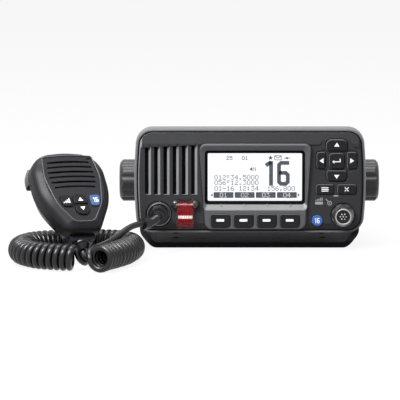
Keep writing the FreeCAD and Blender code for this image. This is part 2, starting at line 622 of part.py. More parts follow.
def front_panel():
    """Moulded face: louvres, sloping top band, chin and an opening for every control."""
    back = PANEL_BACK
    body = slab(panel_outline(FACE_INSET + SEAT), back, FACE - 0.6)
    body = body.fuse(tapered(panel_outline(FACE_INSET + SEAT), FACE - 0.6,
                             panel_outline(FACE_INSET + 1.6), FACE + BAND_RISE))
    top = PANEL_Z + PANEL_H / 2
    wedge = [Vector(-PANEL_W, BAND_RIGHT + 1.0, FACE + BAND_RISE), Vector(-PANEL_W, top, FACE - BAND_DROP),
             Vector(-PANEL_W, top, FACE + 5), Vector(-PANEL_W, BAND_RIGHT + 1.0, FACE + 5)]
    body = body.cut(Part.Face(Part.makePolygon(wedge + wedge[:1])).extrude(Vector(2 * PANEL_W, 0, 0)))
    body = body.cut(chin_wedge())
    body = body.cut(band_cutter())
    body = body.cut(slab(panel_outline(FACE_INSET + FACE_SIDE), back - 1, FACE - FACE_WALL))
    for x, z in SCREW_SPOTS:
        body = body.fuse(disc(x, z, SCREW_BOSS_R, back, FACE - FACE_WALL + 0.5))
    for i in range(SLOT_COUNT):
        body = body.cut(slot_cutter(i))
    body = body.cut(slab(frame_outline(GAP), FACE - FRAME_SUNK - SEAT, FACE + 9))
    body = body.cut(slab(frame_opening(0), back - 1, FACE + 9))
    body = body.cut(slab(holder_outline(GAP), back - 1, FACE + 9))
    for spec in PANEL_KEYS.values():
        body = body.cut(slab(key_outline(spec, KEY_GAP), back - 1, FACE + 9))
    body = body.cut(slab(dpad_well(), FACE - WELL_DEPTH, FACE + 9))
    body = body.cut(disc(DIAL_X, DIAL_Z, DIAL_WELL_R, FACE - DIAL_WELL_T, FACE + 9))
    body = body.cut(disc(DIAL_X, DIAL_Z, DIAL_HOLE_R, back - 1, FACE))
    body = body.cut(disc(JACK_X, JACK_Z, JACK_HOLE_R, back - 1, FACE + 9))
    body = body.cut(slab(sos_stem(SEAT), back - 1, FACE + 9))
    body = body.cut(slab(sos_bar(SEAT), back - 1, FACE + 9))
    for x, z in SCREW_SPOTS:
        body = body.cut(disc(x, z, FACE_SCREW_R, back - 1, SCREW_TIP))
    return body


def dpad_well():
    """Shallow cross-shaped recess that the five arrow and enter keys share."""
    x, z = PANEL_KEYS["enter_key"][0], PANEL_KEYS["enter_key"][1]
    half_w = PANEL_KEYS["key_right"][0] + PANEL_KEYS["key_right"][2] / 2 + 0.7 - x
    half_h = PANEL_KEYS["key_right"][3] / 2 + 0.8
    arm = PANEL_KEYS["key_up"][2] / 2 + 0.8
    top = PANEL_KEYS["key_up"][1] + PANEL_KEYS["key_up"][3] / 2 + 0.7
    low = PANEL_KEYS["key_down"][1] - PANEL_KEYS["key_down"][3] / 2 - 0.7
    right = [(x + arm - 0.4, low, 4.0), (x + arm, z - half_h - 1.4, 2.0), (x + half_w, z - half_h, 2.4),
             (x + half_w, z + half_h, 2.4), (x + arm, z + half_h + 1.4, 2.0), (x + arm, top, 4.8)]
    left = [(2 * x - px, pz, r) for px, pz, r in reversed(right)]
    return rounded_polygon(right + left)


def display_frame():
    """Raised frame: sloping bezel down to the window, four soft-key openings below."""
    front = FACE + FRAME_PROUD
    low = FACE - FRAME_SUNK
    body = slab(frame_outline(0), low, front - 0.9)
    body = body.fuse(tapered(frame_outline(0), front - 0.9, frame_outline(-0.9), front))
    body = body.fuse(slab(holder_outline(0), HOLDER_BACK, low + 1.0))
    window = rounded_polygon(window_corners(0, 1.0))
    slope = rounded_polygon(window_corners(WINDOW_SLOPE, 5.0))
    body = body.cut(tapered(window, LENS_Z, slope, front + 0.01))
    body = body.cut(slab(rounded_polygon(window_corners(LENS_LAP, 1.5)), HOLDER_BACK - 1, LENS_Z))
    for i in range(SOFT_COUNT):
        body = body.cut(slab(key_outline(soft_spec(i), KEY_GAP), low - 1, front + 1))
    return body.removeSplitter()


def holder_outline(grow):
    """Box behind the frame that holds the lens and the display."""
    return rounded_polygon(window_corners(LENS_LAP + HOLDER_WALL + grow, 2.5 + grow))


def window_corners(grow, r):
    x0, x1 = WINDOW_X0 - grow, WINDOW_X1 + grow
    z0, z1 = WINDOW_Z0 - grow * 1.15, WINDOW_Z1 + grow
    return [(x1, z0, r), (x1, z1, r), (x0, z1, r), (x0, z0, r)]


def soft_spec(index):
    """Size of one of the four keys under the display."""
    return (SOFT_LEFT + SOFT_W / 2 + index * SOFT_PITCH, SOFT_Z, SOFT_W, SOFT_H, (3.0, 2.4, 2.4, 3.0))


def key_cap(spec, face_level, wall_back, proud):
    """Key with rounded front edge, a retaining flange and a plunger to its switch."""
    x, z, w, h, _ = spec
    top = face_level + proud
    flange_top = wall_back - GAP
    edge = 0.5
    body = slab(key_outline(spec, 0), flange_top - 0.5, top - edge)
    body = body.fuse(tapered(key_outline(spec, 0), top - edge, key_outline(spec, -edge), top))
    body = body.fuse(slab(key_outline(spec, KEY_FLANGE), flange_top - 1.0, flange_top))
    tip = LOGIC_FRONT + SWITCH_T + KEY_TRAVEL + 0.1
    body = body.fuse(disc(x, z, 1.6, tip, flange_top - 0.5))
    return body.removeSplitter()


def key_spots():
    """Centres of the twelve keys of the panel."""
    return [soft_spec(i)[:2] for i in range(SOFT_COUNT)] + [spec[:2] for spec in PANEL_KEYS.values()]


def lens():
    return slab(rounded_polygon(window_corners(LENS_LAP - SEAT, 1.4)), LENS_Z - LENS_T, LENS_Z)


def lcd_panel():
    front = LENS_Z - LENS_T - LCD_AIR
    return slab(rounded_polygon(window_corners(LENS_LAP - 2 * SEAT, 1.4)), LOGIC_FRONT, front)


def logic_board():
    """Board across the front unit with a soldered switch behind every key."""
    middle, w, h = (LOGIC_X0 + LOGIC_X1) / 2, LOGIC_X1 - LOGIC_X0, PANEL_H - 2 * LOGIC_EDGE
    board = slab(rounded_rect(middle, PANEL_Z, w, h, 3.0), LOGIC_FRONT - BOARD_T, LOGIC_FRONT)
    board = board.cut(disc(JACK_X, JACK_Z, JACK_HOLE_R + 0.4, 40, 60))
    board = board.cut(disc(SPEAKER_X, SPEAKER_Z, SPEAKER_R - 5.0, 40, 60))
    for x, z in SCREW_SPOTS:
        board = board.cut(disc(x, z, SCREW_BOSS_R + GAP, 40, 60))
    switches = [rounded_rect(x, z, SWITCH_W, SWITCH_W, 0.4) for x, z in key_spots()]
    return fused([board] + [slab(wire, LOGIC_FRONT, LOGIC_FRONT + SWITCH_T) for wire in switches])


def speaker():
    """Loudspeaker behind the louvres: square flange, basket, cone and magnet."""
    front = FACE - FACE_WALL - SEAT
    square = rounded_rect(SPEAKER_X, SPEAKER_Z - 0.9, SPEAKER_W, SPEAKER_H, 2.0)
    plate = slab(square, front - SPEAKER_PLATE, front)
    plate = plate.cut(disc(SPEAKER_X, SPEAKER_Z, SPEAKER_R - 1.0, FACE - 9, FACE))
    driver = revolved(SPEAKER_X, SPEAKER_Z, (
        (0, 44.0), (10.0, 44.0), (10.0, 48.0), (14.0, LOGIC_FRONT + GAP), (SPEAKER_R, front - 1.6),
        (SPEAKER_R, front), (SPEAKER_R - 3.0, front), (SPEAKER_R - 4.0, front - 0.9),
        (6.0, front - 2.4), (0, front - 1.4)))
    return fused([driver, plate])


# ------------------------------------------------------------------- small parts
def dial_knob():
    """Fluted knob with a bright ring round its recessed end."""
    low = FACE + GAP
    top = FACE + DIAL_TIP
    body = revolved(DIAL_X, DIAL_Z, (
        (0, low), (DIAL_R, low), (DIAL_R, low + 1.2), (DIAL_R - 0.3, low + 4.6),
        (6.5, top - 0.6), (6.1, top), (5.4, top), (5.0, top - 0.8), (0, top - 0.8)))
    for i in range(8):
        angle = math.radians(22.5 + 45 * i)
        x = DIAL_X + math.cos(angle) * (DIAL_R + 6.4)
        z = DIAL_Z + math.sin(angle) * (DIAL_R + 6.4)
        body = body.cut(disc(x, z, 7.0, low + 1.2, top - 1.4))
    return body.cut(disc(DIAL_X, DIAL_Z, DIAL_SHAFT_R, low - 1, top - 3.0))


def dial_shaft():
    return disc(DIAL_X, DIAL_Z, DIAL_SHAFT_R, LOGIC_FRONT + 2.6, FACE + DIAL_TIP - 3.0)


def encoder():
    """Housing of the rotary encoder, its bush shows as the dark well round the dial."""
    base = slab(rounded_rect(DIAL_X, DIAL_Z, 13.0, 13.0, 1.0), LOGIC_FRONT, LOGIC_FRONT + 5.0)
    bush = disc(DIAL_X, DIAL_Z, 4.6, LOGIC_FRONT + 4.0, FACE - 1.2)
    bore = disc(DIAL_X, DIAL_Z, DIAL_SHAFT_R + RUN, LOGIC_FRONT + 1.2, FACE)
    chamber = disc(DIAL_X, DIAL_Z, 4.4, LOGIC_FRONT + 0.6, LOGIC_FRONT + 3.6)
    return fused([base, bush]).cut(bore).cut(chamber)


def encoder_plunger():
    """Disc under the shaft that works the push switch."""
    return disc(DIAL_X, DIAL_Z, 4.2, LOGIC_FRONT + 0.6 + DIAL_PUSH + 0.1, LOGIC_FRONT + 2.6)


def hinge_rod(radius, half_length):
    """Cylinder on the cover's hinge line, centred on the insert."""
    start = Vector(SOS_X - half_length, HINGE_Z, FACE + HINGE_OUT)
    return Part.makeCylinder(radius, 2 * half_length, start, Vector(1, 0, 0))


def sos_base():
    """Glossy insert: well for the button and two ball ears for the cover's pin."""
    well_floor = FACE - 2.4
    body = slab(sos_stem(0), SOS_BACK, FACE - 0.1)
    body = body.fuse(slab(sos_bar(0), SOS_BACK, FACE + 0.5))
    flange = slab(sos_stem(0.9), SOS_BACK, FACE - FACE_WALL - SEAT)
    inside = slab(panel_outline(FACE_INSET + FACE_SIDE + SEAT), SOS_BACK - 1, FACE)
    body = body.fuse(flange.common(inside))
    body = body.cut(chin_wedge())
    body = body.cut(slab(rounded_rect(SOS_X, SOS_Z0 + 12.2, SOS_W - 1.0, 17.0, 1.4), well_floor, FACE + 1))
    body = body.cut(slab(rounded_rect(SOS_X, SOS_Z1 - 0.4, SOS_W - 1.0, 2.6, 0.5), well_floor, FACE + 1))
    hole = rounded_rect(SOS_X, BUTTON_Z, BUTTON_W + 2 * KEY_GAP, BUTTON_H + 2 * KEY_GAP, 1.2)
    body = body.cut(slab(hole, SOS_BACK - 1, FACE))
    for side in (-1, 1):
        ball = Part.makeSphere(EAR_R, Vector(SOS_X + side * (SOS_W / 2 + 1.2), HINGE_Z + 0.4, FACE + 0.9))
        body = body.fuse(ball.common(slab(rounded_rect(SOS_X, HINGE_Z, 40.0, 20.0, 0), FACE, FACE + 9)))
    body = body.cut(hinge_rod(BARREL_R + GAP, SOS_W / 2 + GAP))
    sweep = slab(rounded_rect(SOS_X, HINGE_Z, SOS_W + 2 * GAP, 12.0, 0), FACE + 0.2, FACE + 9)
    return body.cut(sweep).cut(hinge_rod(PIN_R, PIN_HALF))


def cover_profile():
    """Side outline of the flip cover: a bowed plate and a lip that curls to the face."""
    z, out = HINGE_Z, FACE + HINGE_OUT + BARREL_R
    middle, curl = (z + SOS_Z0) / 2, SOS_Z0 + 3.6
    t = COVER_T
    plate_out = [Vector(0, z, out), Vector(0, middle, out + 0.9), Vector(0, curl, out - 0.4)]
    lip_out = [plate_out[2], Vector(0, SOS_Z0 + 0.9, out - 2.0), Vector(0, SOS_Z0, FACE + 0.4)]
    lip_in = [Vector(0, SOS_Z0 + t, FACE + 0.4), Vector(0, SOS_Z0 + 0.9 + t * 0.8, out - 2.0 - t * 0.6),
              Vector(0, curl + 0.2, out - 0.4 - t)]
    plate_in = [lip_in[2], Vector(0, middle, out + 0.9 - t), Vector(0, z, out - t)]
    return Part.Wire([
        Part.Arc(*plate_out).toShape(), Part.Arc(*lip_out).toShape(),
        Part.LineSegment(lip_out[2], lip_in[0]).toShape(), Part.Arc(*lip_in).toShape(),
        Part.Arc(*plate_in).toShape(), Part.LineSegment(plate_in[2], plate_out[0]).toShape()])


def sos_cover():
    """Clear red flip cover with side cheeks and a hinge barrel, notched for the spring."""
    x = SOS_X - SOS_W / 2
    plate = Part.Face(cover_profile()).extrude(Vector(SOS_W, 0, 0))
    plate.translate(Vector(x, 0, 0))
    body = plate.fuse(hinge_rod(BARREL_R, SOS_W / 2))
    out = FACE + HINGE_OUT
    cheek = [Vector(0, HINGE_Z, out - 1.0), Vector(0, SOS_Z0 + 1.6, FACE + 0.5),
             Vector(0, SOS_Z0 + 3.4, out + BARREL_R - 1.0), Vector(0, HINGE_Z, out + BARREL_R - 0.4)]
    for cheek_x in (x, x + SOS_W - CHEEK_T):
        side = Part.Face(Part.makePolygon(cheek + cheek[:1])).extrude(Vector(CHEEK_T, 0, 0))
        side.translate(Vector(cheek_x, 0, 0))
        body = body.fuse(side)
    spring_r = PIN_R + 2 * SEAT + 2 * SPRING_WIRE
    notch = slab(rounded_rect(SOS_X, HINGE_Z, SPRING_ROOM, 2 * spring_r, 0), FACE - 1, out + spring_r)
    return body.removeSplitter().cut(notch).cut(hinge_rod(PIN_R + RUN, SOS_W))


def cover_pin():
    return hinge_rod(PIN_R, PIN_HALF)


def cover_spring():
    """Three turns of the return spring, on the pin in the notch of the barrel."""
    wire_r = SPRING_WIRE
    turns = []
    for i in range(3):
        centre = Vector(SOS_X + (i - 1) * 2.1 * wire_r, HINGE_Z, FACE + HINGE_OUT)
        turns.append(Part.makeTorus(PIN_R + wire_r + SEAT, wire_r, centre, Vector(1, 0, 0)))
    return turns


def sos_button():
    """Red square button with the flange that keeps it under the insert."""
    x, z, w, h = SOS_X, BUTTON_Z, BUTTON_W, BUTTON_H
    foot = LOGIC_FRONT + SWITCH_T + BUTTON_TRAVEL + 0.05
    cap = slab(rounded_rect(x, z, w, h, 1.0), foot, FACE - 1.0)
    top = rounded_rect(x, z, w - 1.0, h - 1.0, 0.6)
    crown = tapered(rounded_rect(x, z, w, h, 1.0), FACE - 1.0, top, FACE - 0.5)
    flange = slab(rounded_rect(x, z, w + 1.8, h + 1.8, 1.2), foot, SOS_BACK - GAP)
    return fused([cap, crown, flange])


def mic_jack():
    """Round socket of the microphone: bright ring, dark well and a threaded back."""
    return revolved(JACK_X, JACK_Z, (
        (0, 48.0), (9.4, 48.0), (9.4, FACE - 0.6), (JACK_R, FACE - 0.6), (JACK_R, FACE + 1.2),
        (JACK_R - 0.5, FACE + 1.7), (JACK_BORE_R, FACE + 1.4), (JACK_BORE_R, JACK_FLOOR), (0, JACK_FLOOR)))


def lock_ring():
    """Coupling ring of the plug, with round ribs for the fingers."""
    low, high, bore = JACK_FLOOR + 0.4, RING_FRONT, PLUG_R + RUN
    foot = high - RING_RIBS * RING_PITCH
    profile = [(bore, low), (RING_R, low), (RING_R, foot - RING_GROOVE)]
    for i in range(RING_RIBS):
        start = foot + i * RING_PITCH
        profile += [(RING_R - RING_GROOVE, start - 0.4), (RING_R - RING_GROOVE, start),
                    (RING_R, start + 0.4), (RING_R, start + RING_PITCH - RING_GROOVE)]
    profile += [(RING_R - RING_GROOVE, high), (bore, high)]
    return revolved(JACK_X, JACK_Z, profile)


def plug_body():
    return fused([disc(JACK_X, JACK_Z, PLUG_R, JACK_FLOOR, PLUG_FRONT - 0.8),
                  disc(JACK_X, JACK_Z, PLUG_R + 0.9, RING_FRONT + 0.2, PLUG_FRONT)])


# -------------------------------------------------------------------------- cord
BOOT_ROUTE = (Vector(JACK_X, -PLUG_FRONT, JACK_Z), Vector(JACK_X, -75.6, JACK_Z), Vector(-76.4, -80.4, 26.6),
              Vector(-83.0, -86.0, 26.4))
LEAD_ROUTE = (Vector(-83.0, -86.0, 26.4), Vector(-89.8, -91.77, 26.194), Vector(-96.6, -100.2, 25.0),
              Vector(-103.2, -111.0, 21.6), Vector(-108.8, -122.2, 19.0), Vector(-113.8, -133.4, 18.4),
              Vector(-118.2, -144.4, 20.0), Vector(-120.8, -152.8, 18.2), Vector(-120.96, -156.71, 13.0))
COIL_ROUTE = (Vector(-133.0, -152.0, COIL_Z), Vector(-152.0, -147.6, COIL_Z), Vector(-168.0, -135.0, COIL_Z),
              Vector(-176.0, -115.5, COIL_Z), Vector(-172.6, -94.0, COIL_Z), Vector(-157.5, -78.8, COIL_Z),
              Vector(-136.0, -73.6, COIL_Z), Vector(-113.6, -73.2, COIL_Z), Vector(-96.0, -81.4, COIL_Z),
              Vector(-89.6, -98.6, COIL_Z), Vector(-93.6, -118.6, COIL_Z), Vector(-101.6, -136.8, COIL_Z),
              Vector(-109.0, -149.4, COIL_Z), Vector(-114.0, -160.0, COIL_Z))
TAIL_ROUTE = (Vector(-127.54, -124.04, 10.95), Vector(-126.75, -125.80, 8.65), Vector(-125.4, -129.8, 5.4),
              Vector(-124.8, -135.6, 4.0), Vector(-126.4, -141.2, 5.0), Vector(-129.6, -144.2, 8.4),
              Vector(-131.5, -144.6, 13.2))


def route_path(points):
    """Straight runs joined by tangent arcs, each as large as its two runs allow."""
    edges, radii = [], []
    here = points[0]
    for i in range(1, len(points) - 1):
        back = (points[i - 1] - points[i])
        ahead = (points[i + 1] - points[i])
        leg = 0.45 * min(back.Length, ahead.Length)
        half = back.getAngle(ahead) / 2.0
        radius = leg * math.tan(half)
        back.normalize()
        ahead.normalize()
        bisector = (back + ahead).normalize()
        start, stop = points[i] + back * leg, points[i] + ahead * leg
        middle = points[i] + bisector * (radius / math.sin(half) - radius)
        edges.append(Part.LineSegment(here, start).toShape())
        edges.append(Part.Arc(start, middle, stop).toShape())
        radii.append(radius)
        here = stop
    edges.append(Part.LineSegment(here, points[-1]).toShape())
    return Part.Wire(edges), radii


def swept(name, points, radius):
    """Round tube along a route, with its radii and volume printed for checking."""
    path, radii = route_path(points)
    start = points[0]
    heading = (points[1] - points[0]).normalize()
    ring = Part.Wire(Part.makeCircle(radius, start, heading))
    tube_solid = path.makePipeShell([ring], True, False)
    ideal = math.pi * radius ** 2 * path.Length
    print("%s: length %.1f mm, volume %.4f of section x length, radii %s" % (
        name, path.Length, tube_solid.Volume / ideal, " ".join("%.1f" % r for r in radii)))
    return tube_solid


def plug_boot():
    """Strain relief that turns the cable away: ribbed neck and a stout sleeve."""
    parts = [swept("plug_boot", BOOT_ROUTE, SLEEVE_R - 1.2)]
    run = BOOT_ROUTE[1] - BOOT_ROUTE[0]
    step = run * (1.0 / SLEEVE_RIBS)
    for i in range(SLEEVE_RIBS):
        parts.append(Part.makeCylinder(SLEEVE_R, step.Length * 0.6, BOOT_ROUTE[0] + step * (i + 0.1), run))
    last = (BOOT_ROUTE[-1] - BOOT_ROUTE[-2]).normalize()
    parts.append(Part.makeCylinder(SLEEVE_R, SLEEVE_L, BOOT_ROUTE[-1] - last * (SLEEVE_L + 0.6), last))
    return fused(parts)


# ----------------------------------------------------------------------- handset
def hand_outline(inset=0.0):
    """Egg-shaped outline of the handset, broad at the head."""
    corners = list(HAND_CORNERS) + [HAND_CROWN] + mirrored(HAND_CORNERS)
    return rounded_polygon(shrunk(corners, inset))


def plate_outline(inset=0.0):
    """Outline of the inset face plate."""
    corners = list(PLATE_CORNERS) + [PLATE_CROWN] + mirrored(PLATE_CORNERS)
    return rounded_polygon(shrunk(corners, inset))


def neck_outline(inset=0.0):
    """Short neck below the head, where the cord comes in."""
    half, top = NECK_HALF - inset, HAND_CORNERS[0][1] + 7.0
    return rounded_rect(0, (top + NECK_END) / 2, 2 * half, top - NECK_END - 2 * inset, 3.0)


def arched_slot(length, y, grow=0.0):
    """Slightly arched slit across the plate."""
    half, w, rise = length / 2, HAND_SLOT_W / 2 + grow, 0.9
    low, high = y - w, y + w
    return Part.Wire([
        Part.Arc(Vector(-half, low, 0), Vector(0, low + rise, 0), Vector(half, low, 0)).toShape(),
        Part.Arc(Vector(half, low, 0), Vector(half + w, y, 0), Vector(half, high, 0)).toShape(),
        Part.Arc(Vector(half, high, 0), Vector(0, high + rise, 0), Vector(-half, high, 0)).toShape(),
        Part.Arc(Vector(-half, high, 0), Vector(-half - w, y, 0), Vector(-half, low, 0)).toShape()])


def hand_key_outline(spec, grow=0.0):
    """Key whose outer side leans in towards its foot."""
    x, y, w, h = spec
    side = 1 if x > 0 else -1
    inner, outer = x - side * (w / 2 + grow), x + side * (w / 2 + grow)
    low, high = y - h / 2 - grow, y + h / 2 + grow
    corners = [(inner, low, 2.2 + grow), (outer - side * HAND_KEY_LEAN, low, 2.8 + grow),
               (outer, high, 2.4 + grow), (inner, high, 2.0 + grow)]
    return rounded_polygon(corners if side > 0 else corners[::-1])


def rocker_outline(upper, grow=0.0):
    """Upper or lower half of the tall oval that holds the two arrow keys."""
    w, h = ROCKER_W / 2, ROCKER_H / 2
    split = 0.5
    if upper:
        y0, y1 = ROCKER_Y + split, ROCKER_Y + h
        radii = (0.8, 4.6, 4.6, 0.8)
    else:
        y0, y1 = ROCKER_Y - h, ROCKER_Y - split
        radii = (4.9, 0.8, 0.8, 4.9)
    return rounded_rect(ROCKER_X, (y0 + y1) / 2, 2 * w + 2 * grow, y1 - y0 + 2 * grow,
                        tuple(r + grow for r in radii))


def control_wires(grow):
    """Openings of the handset's four keys."""
    wires = [hand_key_outline(spec, grow) for spec in HAND_KEYS.values()]
    return wires + [rocker_outline(True, grow), rocker_outline(False, grow)]


def handset_front():
    """Front shell: rounded bezel, neck, and the seat of the face plate."""
    seam = HAND_SEAM
    body = fused([slab(hand_outline(), seam, HAND_EDGE), stacked(hand_outline, BEZEL),
                  slab(neck_outline(), seam, NECK_TOP)])
    body = body.cut(slab(hand_outline(HAND_WALL), seam - 1, HAND_EDGE))
    body = body.cut(tapered(hand_outline(HAND_WALL), HAND_EDGE, hand_outline(INNER_INSET), INNER_TOP))
    for x, y, _ in HAND_SCREWS:
        body = body.fuse(disc(x, y, HAND_BOSS_R, seam, INNER_TOP + 0.5))
    body = body.cut(slab(plate_outline(), -PLATE_T, 2))
    for i, length in enumerate(HAND_SLOTS):
        if i % 2 == 0:
            body = body.cut(slab(arched_slot(length - 8.0, HAND_SLOT_S0 - i * HAND_SLOT_PITCH), seam, 2))
    for wire in control_wires(KEY_GAP):
        body = body.cut(slab(wire, INNER_TOP - 1, 2))
    for x, y, _ in HAND_SCREWS:
        body = body.cut(disc(x, y, HAND_SCREW_R, seam - 1, HAND_SCREW_END + 1.0))
    return body


def handset_plate():
    """Face plate with its arched speaker slits and key openings."""
    body = slab(plate_outline(0.35), -PLATE_T, -0.2)
    for i, length in enumerate(HAND_SLOTS):
        body = body.cut(slab(arched_slot(length, HAND_SLOT_S0 - i * HAND_SLOT_PITCH), -3, 2))
    for wire in control_wires(KEY_GAP):
        body = body.cut(slab(wire, -3, 2))
    return body.cut(slab(rounded_rect(*MIC_SLIT, 0.5), -3, 2))


def handset_seal():
    """Gasket in the seam between the two shells, with a pad across the neck."""
    low = HAND_SEAM - SEAL_T
    body = slab(hand_outline(0.7), low, HAND_SEAM).fuse(slab(neck_outline(0.7), low, HAND_SEAM))
    return body.cut(slab(hand_outline(HAND_WALL), low - 1, HAND_SEAM + 1)).removeSplitter()


def handset_rear():
    """Rear shell: domed back, neck with the cord's bore, and the push-to-talk opening."""
    top = HAND_SEAM - SEAL_T
    hull = stacked(hand_outline, ((top, 0.0),) + DOME)
    body = hull.fuse(slab(neck_outline(), NECK_LOW, top))
    room = [(top + 1.0, HAND_WALL), (top, HAND_WALL)]
    room += [(level, inset + HAND_WALL) for level, inset in DOME[:-1]]
    room += [(HAND_BACK + HAND_WALL, DOME[-1][1] + HAND_WALL)]
    body = body.cut(stacked(hand_outline, room))
    for x, y, floor in HAND_SCREWS:
        body = body.fuse(disc(x, y, HAND_BOSS_R, HAND_BACK, top).common(hull))
    for x, y, floor in HAND_SCREWS:
        body = body.cut(disc(x, y, HAND_SCREW_R + GAP, HAND_BACK - 1, top + 1))
        body = body.cut(disc(x, y, HAND_HEAD_R + 0.1, HAND_BACK - 1, floor))
    inner, outer = -PTT_FLANGE + 1.0 + PTT_TRAVEL + GAP, -HAND_CORNERS[1][0] - 9.0
    body = body.cut(side_block(PTT_L + 2 * GAP, PTT_W + 2 * GAP, 2.4, inner, outer))
    bore_end = HAND_CORNERS[0][1] + 7.0
    body = body.cut(Part.makeCylinder(CABLE_R + GAP, bore_end - NECK_END + 1,
                                      Vector(0, NECK_END - 1, BOOT_OUT), Vector(0, 1, 0)))
    return body.cut(disc(0, STUD_SPOT, 2.0, HAND_BACK - 1, HAND_BACK + 3.0))


def side_block(length, width, r, inner, outer):
    """Rounded block that runs along -across, for the key in the left side wall."""
    wire = rounded_rect(0, 0, width, length, r)
    block = slab(wire, -inner, -outer)
    block.rotate(Vector(0, 0, 0), Vector(0, 1, 0), -90)
    block.translate(Vector(0, PTT_Y, PTT_OUT))
    return block


def ptt_button():
    """Push-to-talk key that follows the side of the head, with a flange inside the wall."""
    low, high = PTT_OUT - PTT_W / 2, PTT_OUT + PTT_W / 2
    outer = -HAND_CORNERS[1][0] - 9.0
    skin = ((low, 2.2), (PTT_OUT - 0.4, 0.4 - PTT_RISE), (high - 1.8, -PTT_RISE), (high, 0.2))
    body = side_block(PTT_L, PTT_W, 2.4, -PTT_FLANGE, outer).common(stacked(hand_outline, skin))
    flange = side_block(PTT_L + 1.4, PTT_W - 0.6, 2.0, -PTT_FLANGE + 1.0, -PTT_FLANGE)
    room = slab(hand_outline(DOME[1][1] + HAND_WALL + 1.2), HAND_BACK, HAND_SEAM)
    stem = side_block(PTT_L - 1.0, PTT_W - 1.0, 2.0, -PTT_FLANGE + 1.0, -PTT_FLANGE - 1.0)
    return fused([body, flange.common(room), stem.common(slab(hand_outline(0.5), HAND_BACK, HAND_SEAM))])


def handset_key(wire_of, x, y):
    """Handset key: cap, flange behind the shell and plunger."""
    top = 0.9
    flange_top = INNER_TOP - GAP
    body = slab(wire_of(0.0), flange_top - 0.5, top - 0.5)
    body = body.fuse(tapered(wire_of(0.0), top - 0.5, wire_of(-0.5), top))
    body = body.fuse(slab(wire_of(KEY_GAP + 0.1), flange_top - 0.9, flange_top))
    body = body.fuse(disc(x, y, 1.4, HAND_BOARD_TOP + 1.2, flange_top - 0.5))
    return body.removeSplitter()


def handset_board():
    """Board between the shells, with the microphone capsule soldered on."""
    right = [(11.0, -51.0, 2.0), (20.5, -34.0, 4.0), (22.4, -6.0, 2.0)]
    board = slab(rounded_polygon(right + mirrored(right)), HAND_BOARD_TOP - HAND_BOARD_T, HAND_BOARD_TOP)
    for x, y, _ in HAND_SCREWS:
        board = board.cut(disc(x, y, HAND_BOSS_R + SEAT, HAND_BACK, 0))
    return fused([board, disc(*MIC_AT, 2.6, HAND_BOARD_TOP, INNER_TOP - SEAT)])


def handset_speaker():
    """Small loudspeaker between the board and the front shell."""
    top, r = INNER_TOP - SEAT, HAND_SPEAKER_R
    return revolved(0, HAND_SPEAKER_Y, (
        (0, HAND_BOARD_TOP), (8.0, HAND_BOARD_TOP), (9.0, top - 2.4), (r, top - 1.4),
        (r, top), (r - 2.0, top), (6.0, top - 1.2), (0, top - 0.8)))


def hanger_stud():
    """Mushroom stud by which the handset hangs in its holder."""
    return revolved(0, STUD_SPOT, (
        (0, HAND_BACK - 6.0), (4.6, HAND_BACK - 6.0), (5.4, HAND_BACK - 5.0), (5.0, HAND_BACK - 4.0),
        (2.8, HAND_BACK - 3.6), (2.8, HAND_BACK), (2.0 - SEAT, HAND_BACK), (2.0 - SEAT, HAND_BACK + 3.0),
        (0, HAND_BACK + 3.0)))


def handset_screws():
    """Four screws from the back through the rear shell's bosses."""
    screws = []
    for x, y, floor in HAND_SCREWS:
        r, head = HAND_SCREW_R, HAND_HEAD_R
        screws.append(revolved(x, y, ((0, floor - 2.0), (head, floor - 2.0), (head, floor),
                                      (r, floor), (r, HAND_SCREW_END), (0, HAND_SCREW_END))))
    return screws


def handset_boot():
    """Tapered rubber gland at the neck of the handset."""
    low = NECK_END
    body = Part.makeCone(BOOT_R0, BOOT_R1, BOOT_L, Vector(0, low, BOOT_OUT), Vector(0, -1, 0))
    collar = Part.makeCylinder(BOOT_R0 + 0.6, 1.2, Vector(0, low, BOOT_OUT), Vector(0, -1, 0))
    return fused([body, collar])


# ------------------------------------------------------------------------ output
def write_radio():
    write("chassis", chassis(), TO_FRONT)
    write("antenna_socket", antenna_socket(), TO_FRONT)
    write("cable_glands", cable_glands(), TO_FRONT)
    write("main_board", main_board(), TO_FRONT)
    write("rf_shield", rf_shield(), TO_FRONT)
    write("panel_rim", panel_rim(), TO_FRONT)
    write("front_seal", front_seal(), TO_FRONT)
    write("front_panel", front_panel(), TO_FRONT)
    write("case_screws", face_screws(), TO_FRONT)
    write("display_frame", display_frame(), TO_FRONT)
    write("display_lens", lens(), TO_FRONT)
    write("lcd_panel", lcd_panel(), TO_FRONT)
    write("logic_board", logic_board(), TO_FRONT)
    write("speaker", speaker(), TO_FRONT)


def write_controls():
    for i in range(SOFT_COUNT):
        cap = key_cap(soft_spec(i), FACE + FRAME_PROUD, FACE - FRAME_SUNK, SOFT_PROUD)
        write("soft_key_%d" % (i + 1), cap, TO_FRONT)
    for name, spec in PANEL_KEYS.items():
        write(name, key_cap(spec, FACE, FACE - FACE_WALL, KEY_PROUD), TO_FRONT)
    write("dial_knob", dial_knob(), TO_FRONT)
    write("dial_shaft", dial_shaft(), TO_FRONT)
    write("encoder", encoder(), TO_FRONT)
    write("encoder_plunger", encoder_plunger(), TO_FRONT)
    write("distress_base", sos_base(), TO_FRONT)
    write("distress_cover", sos_cover(), TO_FRONT)
    write("cover_pin", cover_pin(), TO_FRONT)
    write("cover_spring", cover_spring(), TO_FRONT)
    write("distress_button", sos_button(), TO_FRONT)
    write("mic_jack", mic_jack(), TO_FRONT)
    write("lock_ring", lock_ring(), TO_FRONT)
    write("plug_body", plug_body(), TO_FRONT)


